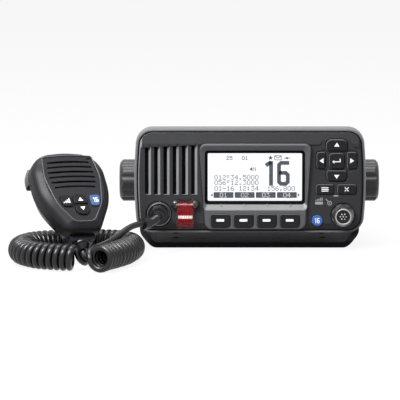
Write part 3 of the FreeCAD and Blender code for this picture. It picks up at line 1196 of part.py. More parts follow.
def write_stand():
    write("bracket", bracket())
    for name, side in (("right", 1), ("left", -1)):
        write("knob_" + name, to_side(side_knob(), side))
    washer = tube(0, 0, WASHER_R, STUD_R + GAP, CASE_HALF, CASE_HALF + WASHER_T)
    write("bracket_washers", [to_side(washer, side) for side in (-1, 1)])


def write_handset():
    write("handset_front", handset_front(), TO_HAND)
    write("handset_plate", handset_plate(), TO_HAND)
    write("handset_seal", handset_seal(), TO_HAND)
    write("handset_rear", handset_rear(), TO_HAND)
    write("handset_board", handset_board(), TO_HAND)
    write("handset_speaker", handset_speaker(), TO_HAND)
    for name, spec in HAND_KEYS.items():
        write(name, handset_key(lambda grow, s=spec: hand_key_outline(s, grow), spec[0], spec[1]), TO_HAND)
    for name, upper in (("handset_up_key", True), ("handset_down_key", False)):
        middle = ROCKER_Y + (ROCKER_H / 4 if upper else -ROCKER_H / 4)
        cap = handset_key(lambda grow, half=upper: rocker_outline(half, grow), ROCKER_X, middle)
        write(name, cap, TO_HAND)
    write("ptt_button", ptt_button(), TO_HAND)
    write("hanger_stud", hanger_stud(), TO_HAND)
    write("handset_screws", handset_screws(), TO_HAND)
    write("handset_boot", handset_boot(), TO_HAND)


def write_cord():
    write("plug_boot", plug_boot())
    write("cord_lead", swept("cord_lead", LEAD_ROUTE, CABLE_R))
    write("cord_coil", swept("cord_coil", COIL_ROUTE, COIL_R))
    write("cord_tail", swept("cord_tail", TAIL_ROUTE, CABLE_R))


os.makedirs("parts", exist_ok=True)
write_stand()
write_radio()
write_controls()
write_handset()
write_cord()
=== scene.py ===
# %% [markdown]
# # A marine radio with its hand microphone
# A fixed-mount transceiver stands on a U bracket. Its hand microphone lies in front of it
# on its own curly cord. The rigid pieces are loaded as they were constructed, and this
# lesson gives them their finishes, and makes the cord, the display and the small marks.

# %% Load the constructed pieces
import json
import math
import random
import bpy
from mathutils import Matrix, Vector
from mathutils.bvhtree import BVHTree


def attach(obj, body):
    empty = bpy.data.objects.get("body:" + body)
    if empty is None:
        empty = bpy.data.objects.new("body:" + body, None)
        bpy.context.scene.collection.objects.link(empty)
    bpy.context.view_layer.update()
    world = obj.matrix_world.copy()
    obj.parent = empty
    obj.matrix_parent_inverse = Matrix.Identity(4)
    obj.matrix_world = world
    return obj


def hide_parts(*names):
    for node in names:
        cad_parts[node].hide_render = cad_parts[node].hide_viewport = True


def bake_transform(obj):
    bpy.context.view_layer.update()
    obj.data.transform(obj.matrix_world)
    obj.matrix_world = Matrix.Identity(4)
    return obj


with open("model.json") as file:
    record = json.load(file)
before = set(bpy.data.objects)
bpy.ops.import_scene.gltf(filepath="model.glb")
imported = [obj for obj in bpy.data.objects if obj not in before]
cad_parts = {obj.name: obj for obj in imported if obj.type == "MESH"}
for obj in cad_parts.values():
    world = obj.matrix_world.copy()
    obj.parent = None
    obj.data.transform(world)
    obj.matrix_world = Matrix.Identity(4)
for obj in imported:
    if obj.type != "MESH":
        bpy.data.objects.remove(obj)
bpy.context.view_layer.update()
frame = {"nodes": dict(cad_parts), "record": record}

node = frame["nodes"]

# %% [markdown]
# ## Camera, floor and light
# Small products are often shown from far away with a long lens, which keeps their edges
# parallel. The camera stands two and a half metres off and looks eight degrees down.

# %% Camera
CAMERA_PLACE = (-0.0389, -2.53367, 0.388725)
LOOK_DOWN = 8
LENS, SENSOR, FAR_END = 290.0, 36, 20


def in_scene(name, data):
    """New object with this data, linked to the scene."""
    thing = bpy.data.objects.new(name, data)
    bpy.context.scene.collection.objects.link(thing)
    return thing


def aim_camera(place, pitch, lens):
    camera = in_scene("camera", bpy.data.cameras.new("camera"))
    camera.location = place
    camera.rotation_euler = (math.radians(90 - pitch), 0, 0)
    camera.data.lens = lens
    camera.data.sensor_width = SENSOR
    camera.data.clip_end = FAR_END
    bpy.context.scene.camera = camera
    return camera


camera = aim_camera(CAMERA_PLACE, LOOK_DOWN, LENS)
bpy.context.scene.view_settings.view_transform = "Standard"
print("camera lens", camera.data.lens)

# %% [markdown]
# The world, the floor and all finishes are node trees. A tree can be drawn by hand in the
# shader editor, or built by a script, as here, which keeps every value in sight. A few short
# functions add the steps that come up again and again: a sum and a mix of two colours.

# %% Steps of a node tree
def new_material(name):
    material = bpy.data.materials.new(name)
    material.use_nodes = True
    tree = material.node_tree
    return material, tree.nodes, tree.links, tree.nodes["Principled BSDF"]


def fed(links, socket, value):
    """Feed a socket from another one, or give it a constant."""
    if isinstance(value, bpy.types.NodeSocket):
        links.new(value, socket)
    else:
        socket.default_value = value


def calculated(nodes, links, operation, a, b):
    """Result of a sum on two sockets or numbers."""
    step = nodes.new("ShaderNodeMath")
    step.operation = operation
    fed(links, step.inputs[0], a)
    fed(links, step.inputs[1], b)
    return step.outputs[0]


def mixed(nodes, links, factor, a, b):
    """Mix of two colours."""
    mix = nodes.new("ShaderNodeMix")
    mix.data_type = "RGBA"
    fed(links, mix.inputs["Factor"], factor)
    fed(links, mix.inputs["A"], a)
    fed(links, mix.inputs["B"], b)
    return mix


print("steps for node trees are ready")

# %% [markdown]
# The world lights the scene softly. Rays that come straight from the camera, or by way of
# a reflection or through glass, see plain white, so metal and glass show a clean studio.
# The floor does the same for most of its brightness, and keeps the rest for the shadow.

# %% World
SEEN = ("Is Camera Ray", "Is Glossy Ray", "Is Transmission Ray")
SKY, SKY_STRENGTH = (0.95, 0.97, 1, 1), 0.14


def light_path_mask(nodes, links, names):
    """A value of one for the named kinds of ray, and zero for the others."""
    path = nodes.new("ShaderNodeLightPath")
    mask = path.outputs[names[0]]
    for name in names[1:]:
        mask = calculated(nodes, links, "MAXIMUM", mask, path.outputs[name])
    return mask


def studio_world(strength):
    world = bpy.data.worlds.new("studio")
    bpy.context.scene.world = world
    world.use_nodes = True
    nodes, links = world.node_tree.nodes, world.node_tree.links
    white = nodes["Background"]
    white.inputs["Color"].default_value = (1, 1, 1, 1)
    soft = nodes.new("ShaderNodeBackground")
    soft.inputs["Color"].default_value = SKY
    soft.inputs["Strength"].default_value = strength
    mix = nodes.new("ShaderNodeMixShader")
    links.new(light_path_mask(nodes, links, SEEN), mix.inputs["Fac"])
    links.new(soft.outputs[0], mix.inputs[1])
    links.new(white.outputs[0], mix.inputs[2])
    links.new(mix.outputs[0], nodes["World Output"].inputs["Surface"])
    print("world strength", strength)


studio_world(SKY_STRENGTH)

# %% Floor
FLOOR_SIZE, FLOOR_LEVEL = 30, -0.0003
GLOW_SHARE = 0.9
PAPER, PAPER_BOUNCE = (0.85, 0.85, 0.85, 1), (0.25, 0.25, 0.25, 1)


def lay_floor(size, glow_share):
    mesh = bpy.data.meshes.new("floor")
    h = size / 2
    corners = [(x, y, FLOOR_LEVEL) for x, y in ((-h, -h), (h, -h), (h, h), (-h, h))]
    mesh.from_pydata(corners, [], [(0, 1, 2, 3)])
    floor = in_scene("floor", mesh)
    paper, nodes, links, shader = new_material("paper floor")
    shader.inputs["Roughness"].default_value = 0.9
    bounced = light_path_mask(nodes, links, ("Is Diffuse Ray",))
    shade = mixed(nodes, links, bounced, PAPER, PAPER_BOUNCE)
    links.new(shade.outputs["Result"], shader.inputs["Base Color"])
    glow = nodes.new("ShaderNodeEmission")
    seen = light_path_mask(nodes, links, SEEN)
    mix = nodes.new("ShaderNodeMixShader")
    links.new(calculated(nodes, links, "MULTIPLY", seen, glow_share), mix.inputs["Fac"])
    links.new(shader.outputs[0], mix.inputs[1])
    links.new(glow.outputs[0], mix.inputs[2])
    links.new(mix.outputs[0], nodes["Material Output"].inputs["Surface"])
    mesh.materials.append(paper)
    print("floor", size, "m")


lay_floor(FLOOR_SIZE, GLOW_SHARE)

# %% [markdown]
# Black plastic shows its shape through highlights. The key lamp stands near, on the upper
# left, so the left of the panel is lighter than the right. A wide box hangs above and in
# front, where the slopes that face up mirror it, and a third lamp lights the top edges.

# %% Lamps
LAMP_TARGET = Vector((-0.03, -0.06, 0.05))


def hang_lamp(name, place, width, height, watts):
    data = bpy.data.lights.new(name, "AREA")
    data.shape = "RECTANGLE"
    data.size, data.size_y, data.energy = width, height, watts
    lamp = in_scene(name, data)
    lamp.location = place
    lamp.rotation_euler = (LAMP_TARGET - Vector(place)).to_track_quat("-Z", "Y").to_euler()
    print(name, watts, "W")


hang_lamp("key lamp", (-0.34, -0.4, 0.46), 0.2, 0.2, 5.6)
hang_lamp("front box", (-0.05, -0.95, 1.35), 0.9, 0.4, 17.0)
hang_lamp("top lamp", (0.0, 0.3, 1.6), 1.2, 0.4, 20.0)

# %% [markdown]
# ## Finishes
# Moulded plastic is never quite even. A broad noise shifts its colour a little and its
# gloss with it, and a fine one stands for the spark-eroded grain of the mould. The Bevel
# node rounds hard edges by a few tenths of a millimetre, so that they catch the light.

# %% Noise and its range
def noise(nodes, links, where, scale):
    """Noise in object coordinates, with so many features to the metre."""
    texture = nodes.new("ShaderNodeTexNoise")
    texture.inputs["Scale"].default_value = scale
    links.new(where.outputs["Object"], texture.inputs["Vector"])
    return texture


def ranged(nodes, links, value, low, high):
    """A value between zero and one, spread between two others."""
    spread = nodes.new("ShaderNodeMapRange")
    spread.inputs["To Min"].default_value = low
    spread.inputs["To Max"].default_value = high
    links.new(value, spread.inputs["Value"])
    return spread.outputs["Result"]


print("noise can vary a finish")

# %% A moulded or painted finish
CLOUDS_PER_METRE = 55
TINT_SPREAD, GLOSS_SPREAD = 0.1, 0.05


def moulded(name, colour, roughness, shine=0.3, grain=0.5, depth=0.008, edge=0.3, metallic=0.0):
    """Finish with its grain, the depth of the grain and the edge radius in millimetres."""
    material, nodes, links, shader = new_material(name)
    shader.inputs["Metallic"].default_value = metallic
    shader.inputs["Specular IOR Level"].default_value = shine
    where = nodes.new("ShaderNodeTexCoord")

    cloud = noise(nodes, links, where, CLOUDS_PER_METRE)
    cloud.inputs["Detail"].default_value = 4
    darker = (*[c * (1 - TINT_SPREAD) for c in colour], 1)
    lighter = (*[min(1, c * (1 + TINT_SPREAD)) for c in colour], 1)
    tint = mixed(nodes, links, cloud.outputs["Fac"], darker, lighter)
    tint.name = "tint"
    links.new(tint.outputs["Result"], shader.inputs["Base Color"])
    gloss = ranged(nodes, links, cloud.outputs["Fac"],
                   roughness - GLOSS_SPREAD, roughness + GLOSS_SPREAD)
    links.new(gloss, shader.inputs["Roughness"])

    sand = noise(nodes, links, where, 1000 / grain)
    soften = nodes.new("ShaderNodeBevel")
    soften.samples = 4
    soften.inputs["Radius"].default_value = edge / 1000
    bump = nodes.new("ShaderNodeBump")
    bump.inputs["Distance"].default_value = depth / 1000
    links.new(sand.outputs["Fac"], bump.inputs["Height"])
    links.new(soften.outputs["Normal"], bump.inputs["Normal"])
    links.new(bump.outputs["Normal"], shader.inputs["Normal"])
    return material


print("clouds %.0f mm across" % (1000 / CLOUDS_PER_METRE))

# %% [markdown]
# Nearly all pieces are black or dark grey, and differ in gloss more than in colour: the
# powder coat of the bracket is dull, key rubber is silky and the coupling ring is glossy.
# A table keeps them side by side, which makes them easy to compare and to tune.

# %% All moulded and painted finishes
# Each row: name, colour, roughness, shine, grain, its depth, edge radius and metal share.
SMOOTH = (0.5, 0.001, 0.05)
MOULDED = {
    "bracket_black": ("powder coated bracket", (0.022, 0.022, 0.025), 0.6, 0.06, 0.6, 0.015),
    "case_black": ("painted die casting", (0.022, 0.022, 0.024), 0.5, 0.2, 0.7, 0.02),
    "rubber_black": ("black rubber", (0.008, 0.008, 0.009), 0.5, 0.16, 0.4, 0.01),
    "knob_black": ("knob plastic", (0.022, 0.022, 0.024), 0.36, 0.35, 0.5, 0.01),
    "rim_grey": ("rim plastic", (0.11, 0.11, 0.115), 0.38, 0.3),
    "face_grey": ("face plastic", (0.028, 0.028, 0.03), 0.38, 0.11, 0.5, 0.012),
    "frame_grey": ("display frame plastic", (0.06, 0.06, 0.066), 0.32, 0.5),
    "key_black": ("black key rubber", (0.006, 0.006, 0.007), 0.38, 0.2, 0.4, 0.006, 0.5),
    # The two hand key finishes are darker copies of the key rubber: painted shade.
    "hand_key": ("black hand key", (0.005, 0.005, 0.006), 0.42, 0.14, 0.4, 0.006, 0.4),
    "key_blue": ("blue key rubber", (0.035, 0.11, 0.36), 0.38, 0.24, 0.4, 0.006, 0.5),
    "hand_blue_painted_shade": ("blue hand key", (0.035, 0.08, 0.19), 0.42, 0.2, 0.4, 0.006, 0.4),
    "insert_gloss": ("glossy insert", (0.02, 0.02, 0.022), 0.2, 0.5, 0.6, 0.002, 0.4),
    "button_red": ("red button", (0.4, 0.008, 0.012), 0.3, 0.4, 0.5, 0.004, 0.4),
    "plug_black": ("plug plastic", (0.006, 0.006, 0.007), 0.3, 0.32, 0.4, 0.008, 0.3),
    "hand_grey": ("handset plastic", (0.011, 0.011, 0.0135), 0.42, 0.17, 0.45, 0.012, 0.6),
    "speaker_grey": ("speaker paper", (0.004, 0.004, 0.004), 0.8, 0.05, 0.8, 0.03),
    "board_green": ("board lacquer", (0.02, 0.12, 0.05), 0.4, 0.4, 0.5, 0.01),
    "steel": ("turned steel", (0.55, 0.55, 0.56), 0.3, 0.5, 0.6, 0.004, 0.2, 1.0),
    "chrome": ("nickel plating", (0.15, 0.15, 0.155), 0.32, 0.5, 0.6, 0.002, 0.2, 1.0),
    "cord_black": ("cord jacket", (0.006, 0.006, 0.007), 0.3, 0.36, 0.5, 0.004, 0.2),
    "mark_white": ("printed white", (0.8, 0.8, 0.8), 0.5, 0.2, *SMOOTH),
    "mark_grey": ("printed grey", (0.3, 0.3, 0.3), 0.5, 0.2, *SMOOTH),
    # The black band round the window is painted shade for the shadow gap at its edge.
    "gasket": ("display gasket", (0.002, 0.002, 0.002), 0.6, 0.03, *SMOOTH),
    # The lip is lighter than the handset plastic: a painted highlight along the plate's edge.
    "lip_painted_highlight": ("satin lip", (0.06, 0.06, 0.065), 0.36, 0.4, *SMOOTH),
    "display_ink": ("display ink", (0.085, 0.095, 0.12), 0.5, 0.2, *SMOOTH),
}
finish = {slot: moulded(*values) for slot, values in MOULDED.items()}
print(len(finish), "moulded finishes")

# %% [markdown]
# Four finishes change over the piece. The bevels of the face and of the black keys get a
# painted highlight, lighter where they face up or to the left, the dial has a polished ring
# round a dark face, and the aerial socket is threaded.
# Object coordinates are metres in the part's own frame, so a place on a piece is a number.

# %% Painted highlight on bevels
HIGHLIGHT_FROM, HIGHLIGHT_TO = 0.3, 0.65


def repaint(material, mask, colour):
    """Lay a second colour over a moulded finish where the mask is one."""
    nodes, links = material.node_tree.nodes, material.node_tree.links
    paint = mixed(nodes, links, mask, nodes["tint"].outputs["Result"], (*colour, 1))
    links.new(paint.outputs["Result"], nodes["Principled BSDF"].inputs["Base Color"])
    nodes["tint"].name = "under"
    paint.name = "tint"


def painted_bevel_highlight(material, colour):
    """Painted highlight: lighter where the surface looks up or to the left, where bevels of
    louvres and keys face the key lamp.
    """
    nodes, links = material.node_tree.nodes, material.node_tree.links
    split = nodes.new("ShaderNodeSeparateXYZ")
    links.new(nodes.new("ShaderNodeTexCoord").outputs["Normal"], split.inputs[0])
    leftward = calculated(nodes, links, "MULTIPLY", split.outputs["X"], -1)
    painted_highlight = nodes.new("ShaderNodeMapRange")
    painted_highlight.inputs["From Min"].default_value = HIGHLIGHT_FROM
    painted_highlight.inputs["From Max"].default_value = HIGHLIGHT_TO
    links.new(calculated(nodes, links, "MAXIMUM", leftward, split.outputs["Z"]),
              painted_highlight.inputs["Value"])
    repaint(material, painted_highlight.outputs["Result"], colour)


# Painted highlight: the bevels of the face and of the black keys are lighter where they face up
# or left.
painted_bevel_highlight(finish["face_grey"], (0.2, 0.2, 0.21))
painted_bevel_highlight(finish["key_black"], (0.09, 0.09, 0.095))
print("bevels of face and keys are lighter")

# %% Dial with a polished ring
DIAL = (0.07195, 0, 0.029)
RING_INNER, RING_OUTER = 0.0054, 0.0061
POLISHED, DARK = 0.5, 0.02


def dial_finish(centre, ring_inner, ring_outer):
    material = moulded("gunmetal dial", (0.17, 0.17, 0.178), 0.28, 0.5, 0.4, 0.004, 0.3, 0.85)
    nodes, links = material.node_tree.nodes, material.node_tree.links
    flat = nodes.new("ShaderNodeVectorMath")
    flat.operation = "MULTIPLY"
    flat.inputs[1].default_value = (1, 0, 1)
    links.new(nodes.new("ShaderNodeTexCoord").outputs["Object"], flat.inputs[0])
    radius = nodes.new("ShaderNodeVectorMath")
    radius.operation = "DISTANCE"
    radius.inputs[1].default_value = centre
    links.new(flat.outputs["Vector"], radius.inputs[0])
    for limit, shade in ((ring_outer, POLISHED), (ring_inner, DARK)):
        inside = calculated(nodes, links, "LESS_THAN", radius.outputs["Value"], limit)
        repaint(material, inside, (shade, shade, shade))
    return material


finish["dial_dark"] = dial_finish(DIAL, RING_INNER, RING_OUTER)
print("the ring of the dial is %.1f mm wide" % (1000 * (RING_OUTER - RING_INNER)))

# %% Threaded nickel
THREAD_PITCH = 0.00106
WAVE_SCALE = 0.314


def threaded(name, thread_pitch):
    material = moulded(name, (0.5, 0.5, 0.52), 0.24, 0.5, 0.6, 0.002, 0.2, 1.0)
    nodes, links = material.node_tree.nodes, material.node_tree.links
    wave = nodes.new("ShaderNodeTexWave")
    wave.bands_direction = "Y"
    wave.inputs["Scale"].default_value = WAVE_SCALE / thread_pitch
    links.new(nodes.new("ShaderNodeTexCoord").outputs["Object"], wave.inputs["Vector"])
    ridge = nodes.new("ShaderNodeBump")
    ridge.inputs["Distance"].default_value = thread_pitch / 3
    links.new(wave.outputs["Fac"], ridge.inputs["Height"])
    links.new(nodes["Bump"].outputs["Normal"], ridge.inputs["Normal"])
    links.new(ridge.outputs["Normal"], nodes["Principled BSDF"].inputs["Normal"])
    return material


finish["thread"] = threaded("threaded nickel", THREAD_PITCH)
print("thread pitch %.2f mm" % (1000 * THREAD_PITCH))

# %% [markdown]
# The window and the flip cover are clear. They let what is behind them show through by
# their alpha, which costs little to render, and keep their own gloss on top. The display
# shines a little more brightly than white paper, and a slow noise keeps it from being flat.

# %% Clear finishes
RIPPLES_PER_METRE = 90
SMEAR = 0.04


def clear(name, colour, alpha, roughness, shine=0.5):
    material, nodes, links, shader = new_material(name)
    shader.inputs["Base Color"].default_value = (*colour, 1)
    shader.inputs["Alpha"].default_value = alpha
    shader.inputs["Specular IOR Level"].default_value = shine
    ripple = noise(nodes, links, nodes.new("ShaderNodeTexCoord"), RIPPLES_PER_METRE)
    gloss = ranged(nodes, links, ripple.outputs["Fac"], roughness, roughness + SMEAR)
    links.new(gloss, shader.inputs["Roughness"])
    return material


finish["lens_clear"] = clear("clear window", (0.02, 0.02, 0.02), 0.1, 0.03)
finish["cover_red"] = clear("clear red cover", (0.27, 0.004, 0.008), 0.3, 0.08, 0.16)
print("window and flip cover are clear")

# %% Lit display
GLOWS_PER_METRE = 40
GLOW_SPREAD = 0.02


def lit_display(name, colour, strength):
    material, nodes, links, shader = new_material(name)
    shader.inputs["Base Color"].default_value = (0.02, 0.02, 0.02, 1)
    shader.inputs["Emission Color"].default_value = (*colour, 1)
    cloud = noise(nodes, links, nodes.new("ShaderNodeTexCoord"), GLOWS_PER_METRE)
    glow = ranged(nodes, links, cloud.outputs["Fac"],
                  strength - GLOW_SPREAD, strength + GLOW_SPREAD)
    links.new(glow, shader.inputs["Emission Strength"])
    return material


finish["lcd_white"] = lit_display("lit display", (0.97, 0.98, 1.0), 1.25)
print("the display is lit")

# %% [markdown]
# Every constructed piece takes the finish of its slot. The aerial socket takes the thread,
# and the keys of the hand microphone take darker copies of the key finishes: painted shade,
# because they lean back towards the light.

# %% Dress the constructed pieces
slot_of = {part["node"]: part["material_slot"] for part in frame["record"]["subparts"]}
# The hand microphone's keys take darker copies of the key finishes: painted shade.
OWN_FINISH = {"antenna_socket": "thread", "level_key": "hand_key", "handset_up_key": "hand_key",
              "handset_down_key": "hand_key", "handset_channel_key": "hand_blue_painted_shade"}
for name, piece in node.items():
    piece.data.materials.clear()
    piece.data.materials.append(finish[OWN_FINISH.get(name, slot_of[name])])
print("dressed", len(slot_of), "pieces")

# %% [markdown]
# ## Places
# Front pieces are drawn flat as (across, height, towards the user), and pieces of the
# hand microphone as (across, along, out). A matrix turns each drawing into its place.

# %% Drawing frames
def turned(degrees, axis):
    return Matrix.Rotation(math.radians(degrees), 4, axis)


ON_FRONT = turned(90, "X")
ON_HAND = (Matrix.Translation((-141.15, -91.48, 79.28)) @ turned(28, "Z")
           @ turned(50, "X") @ turned(-2.5, "Z"))
print("the hand microphone's plate faces", tuple(round(c, 2) for c in ON_HAND.col[2][:3]))

# %% Pieces from drawn points
def mesh_of(name, points_mm, edges, faces, place):
    """Mesh in metres from points drawn in millimetres, put in its place."""
    mesh = bpy.data.meshes.new(name)
    mesh.from_pydata([(place @ Vector(p)) / 1000 for p in points_mm], edges, faces)
    return mesh


def on_body(name, mesh, body):
    """Piece of the scene that rides on a body."""
    piece = in_scene(name, mesh)
    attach(piece, body)
    return piece


def new_piece(name, points_mm, faces, place, body, material):
    """Piece drawn point by point."""
    mesh = mesh_of(name, points_mm, [], faces, place)
    mesh.materials.append(material)
    return on_body(name, mesh, body)


print("drawings can become pieces")

# %% [markdown]
# ## Printed marks
# Marks are thin plates, a tenth of a millimetre thick, each on the body of its key. A solid
# shape is an outline with a wall round it, and a line is a ribbon with mitred corners.

# %% Solid shapes
def rounded_box(cx, cy, w, h, r, steps=5):
    """Outline of a rectangle with rounded corners, anticlockwise."""
    outline = []
    for k, (sx, sy) in enumerate(((1, -1), (1, 1), (-1, 1), (-1, -1))):
        for i in range(steps + 1):
            angle = math.radians(-90 + 90 * k + 90 * i / steps)
            outline.append((cx + sx * (w / 2 - r) + r * math.cos(angle),
                            cy + sy * (h / 2 - r) + r * math.sin(angle)))
    return outline


def ring(cx, cy, r, steps=20):
    """Closed line round a centre, which ends on its first point."""
    return [(cx + r * math.cos(2 * math.pi * i / steps),
             cy + r * math.sin(2 * math.pi * i / steps)) for i in range(steps + 1)]


def triangle(cx, cy, w, h, quarter):
    """Triangle with its tip up, or turned anticlockwise by quarter turns."""
    shape = [(-w / 2, -h / 2), (w / 2, -h / 2), (0, h / 2)]
    for _ in range(quarter):
        shape = [(-y, x) for x, y in shape]
    return [(cx + x, cy + y) for x, y in shape]


print("boxes, rings and triangles can be drawn")

# %% Thin plates
def plates(name, outlines, out, place, body, material, thick=0.1):
    """Thin plates on one level, all in one mesh."""
    points, faces = [], []
    for outline in outlines:
        n, base = len(outline), len(points)
        points += [(x, y, out) for x, y in outline] + [(x, y, out + thick) for x, y in outline]
        faces.append([base + n + i for i in range(n)])
        faces.append([base + i for i in reversed(range(n))])
        faces += [(base + i, base + (i + 1) % n, base + n + (i + 1) % n, base + n + i)
                  for i in range(n)]
    return new_piece(name, points, faces, place, body, material)


def white_marks(name, outlines, out, place, body):
    return plates(name, outlines, out, place, body, finish["mark_white"])


print("outlines can become plates")

# %% Lines
STROKES = {"1": (((0, 0.82), (0.21, 0.96)), ((0.21, 0), (0.21, 1))),
           "6": (((0.41, 0.925), (0.08, 0.925), (0, 0.847), (0, 0.153), (0.08, 0.075),
                  (0.27, 0.075), (0.354, 0.153), (0.354, 0.44), (0.27, 0.52), (0, 0.52)),)}


def ribbon(line, width):
    """Quads along an open line, with mitred corners and flat ends."""
    sides = []
    for i, p in enumerate(line):
        a, b = Vector(line[max(i - 1, 0)]), Vector(line[min(i + 1, len(line) - 1)])
        before = (Vector(p) - a).normalized() if i else (b - Vector(p)).normalized()
        after = (b - Vector(p)).normalized() if i < len(line) - 1 else before
        across = (before + after).normalized().orthogonal()
        across *= width / 2 / max(0.5, across.dot(before.orthogonal()))
        sides.append((Vector(p) + across, Vector(p) - across))
    return [(tuple(r0), tuple(r1), tuple(l1), tuple(l0))
            for (l0, r0), (l1, r1) in zip(sides, sides[1:])]


def ribbons(lines, width):
    return [quad for line in lines for quad in ribbon(line, width)]


def sixteen(x, y, height, width):
    """The channel number as ribbons, from its lower left corner."""
    lines = []
    for digit, shift in (("1", 0.04), ("6", 0.57)):
        for stroke in STROKES[digit]:
            lines.append([(x + height * (shift + u), y + height * v) for u, v in stroke])
    return ribbons(lines, width)


print("lines can be drawn")

# %% [markdown]
# The radio's keys carry plain signs: bars under the display, triangles for the arrows, a
# bent arrow to enter, three bars for the menu, a cross to clear, and the number of the
# calling channel on the blue keys.

# %% Signs on the keys of the radio
KEY_TOP, SOFT_TOP, FACE = 58.9, 61.6, 58.0
KEY_LINE = 0.7
SOFT_X, SOFT_PITCH, SOFT_Z = -23.2, 17.95, 25.35
ARROWS = (("key_up", 67.0, 84.2, 0), ("key_left", 55.2, 71.6, 1),
          ("key_down", 67.0, 59.0, 2), ("key_right", 78.9, 71.6, 3))
for i in range(4):
    dash = rounded_box(SOFT_X + SOFT_PITCH * i, SOFT_Z, 6.1, 2.0, 0.6)
    white_marks("soft_key_dash_%d" % (i + 1), [dash], SOFT_TOP, ON_FRONT,
                "soft_key_%d" % (i + 1))
for body, x, z, quarter in ARROWS:
    white_marks(body + "_arrow", [triangle(x, z, 4.1, 3.1, quarter)], KEY_TOP, ON_FRONT, body)
enter = ribbons([[(64.6, 70.8), (69.6, 70.8), (69.6, 73.2)]], KEY_LINE)
enter.append(triangle(64.3, 70.8, 2.6, 1.8, 1))
menu = [rounded_box(58.0, 49.2 + rise, 5.6, KEY_LINE, 0.3) for rise in (-1.3, 0, 1.3)]
cross = ribbons([[(73.3, 47.8), (76.3, 50.8)], [(73.3, 50.8), (76.3, 47.8)]], KEY_LINE)
white_marks("enter_sign", enter, KEY_TOP, ON_FRONT, "enter_key")
white_marks("menu_sign", menu, KEY_TOP, ON_FRONT, "menu_key")
white_marks("clear_sign", cross, KEY_TOP, ON_FRONT, "clear_key")
white_marks("channel_sign", sixteen(50.0, 22.7, 4.0, 0.6), KEY_TOP, ON_FRONT, "channel_key")
print("signs on twelve keys")

# %% [markdown]
# Above the dial, the face itself is printed in grey: a small knob and rising bars say that
# the dial sets the loudness, and a short dash lies above them. These marks ride on the radio.

# %% Signs on the face of the radio
KNOB_X, KNOB_Z = 61.7, 38.3
RISE_X, RISE_Z = 51.0, 40.6
FACE_LINE = 0.5
knob_sign = ribbons([ring(KNOB_X, KNOB_Z, 1.5), [(58.6, 41.6), (60.6, 39.6)]], FACE_LINE)
knob_sign += [ring(KNOB_X, KNOB_Z, 0.5)[:-1], rounded_box(53.4, 38.4, 6.1, 2.2, 0.7)]
knob_sign += [rounded_box(RISE_X + 1.2 * i, RISE_Z + 0.22 * i, 0.7, 0.8 + 0.44 * i, 0.3)
              for i in range(5)]
dial_mark = [rounded_box(66.5, 44.0, 3.7, 0.9, 0.4)]
for name, shapes in (("knob_sign", knob_sign), ("dial_mark", dial_mark)):
    plates(name, shapes, FACE, ON_FRONT, "radio", finish["mark_grey"])
print("two grey signs above the dial")

# %% [markdown]
# The keys of the hand microphone carry the same kinds of sign, with rising bars for the
# loudness. They are drawn flat as well, and the microphone's matrix leans them with it.

# %% Signs on the hand microphone
HAND_KEY_TOP = 0.9
level_bars = [rounded_box(-13.0 + 1.5 * i, -42.2 + 0.5 * i, 0.8, 1.0 + 1.0 * i, 0.3)
              for i in range(4)]
for name, shapes, body in (
        ("hand_up_arrow", [triangle(1.0, -39.6, 4.2, 3.0, 0)], "handset_up_key"),
        ("hand_down_arrow", [triangle(1.0, -47.9, 4.2, 3.0, 2)], "handset_down_key"),
        ("hand_level_sign", level_bars, "level_key"),
        ("hand_channel_sign", sixteen(11.3, -42.6, 4.2, 0.6), "handset_channel_key")):
    white_marks(name, shapes, HAND_KEY_TOP, ON_HAND, body)
print("signs on four keys of the hand microphone")

# %% [markdown]
# The face plate of the hand microphone sits inside a fine raised lip, which stands for its
# rounded edge. The lip is painted lighter than the shell, as a highlight. Its outline is made
# of straight lines and arcs, and a Geometry Nodes tree sweeps a small circle along it. The
# same outline with a bevelled curve would do, but a tree can be run on any other line too.

# %% Outline with arcs
HALF_PLATE = [(8.0, -58.8, 7.0), (18.3, -43.0, 25.0), (23.3, -19.0, 30.0), (20.6, -0.6, 2.5)]
TOP_OF_PLATE = (0.0, 0.8, 60.0)


def rounded_outline(corners, step=6):
    """Points along a polygon whose corners (x, y, radius) are rounded by arcs."""
    outline = []
    for i, (x, y, r) in enumerate(corners):
        p = Vector((x, y))
        back = (Vector(corners[i - 1][:2]) - p).normalized()
        on = (Vector(corners[(i + 1) % len(corners)][:2]) - p).normalized()
        half = back.angle(on) / 2
        centre = p + (back + on).normalized() * (r / math.sin(half))
        first = p + back * (r / math.tan(half)) - centre
        last = p + on * (r / math.tan(half)) - centre
        sweep = first.angle_signed(last)
        count = max(2, int(abs(math.degrees(sweep)) / step))
        for k in range(count + 1):
            turn = Matrix.Rotation(-sweep * k / count, 2)
            outline.append(tuple(centre + turn @ first))
    return outline


other_half = [(-x, y, r) for x, y, r in reversed(HALF_PLATE)]
plate_edge = rounded_outline(HALF_PLATE + [TOP_OF_PLATE] + other_half)
print("plate outline", len(plate_edge), "points")

# %% Open and close a Geometry Nodes group
def new_tree(name, inputs):
    """Geometry Nodes group with these inputs, its first node and its last."""
    tree = bpy.data.node_groups.new(name, "GeometryNodeTree")
    for label, kind in inputs:
        tree.interface.new_socket(label, in_out="INPUT", socket_type="NodeSocket" + kind)
    tree.interface.new_socket("Geometry", in_out="OUTPUT", socket_type="NodeSocketGeometry")
    return tree, tree.nodes.new("NodeGroupInput"), tree.nodes.new("NodeGroupOutput")


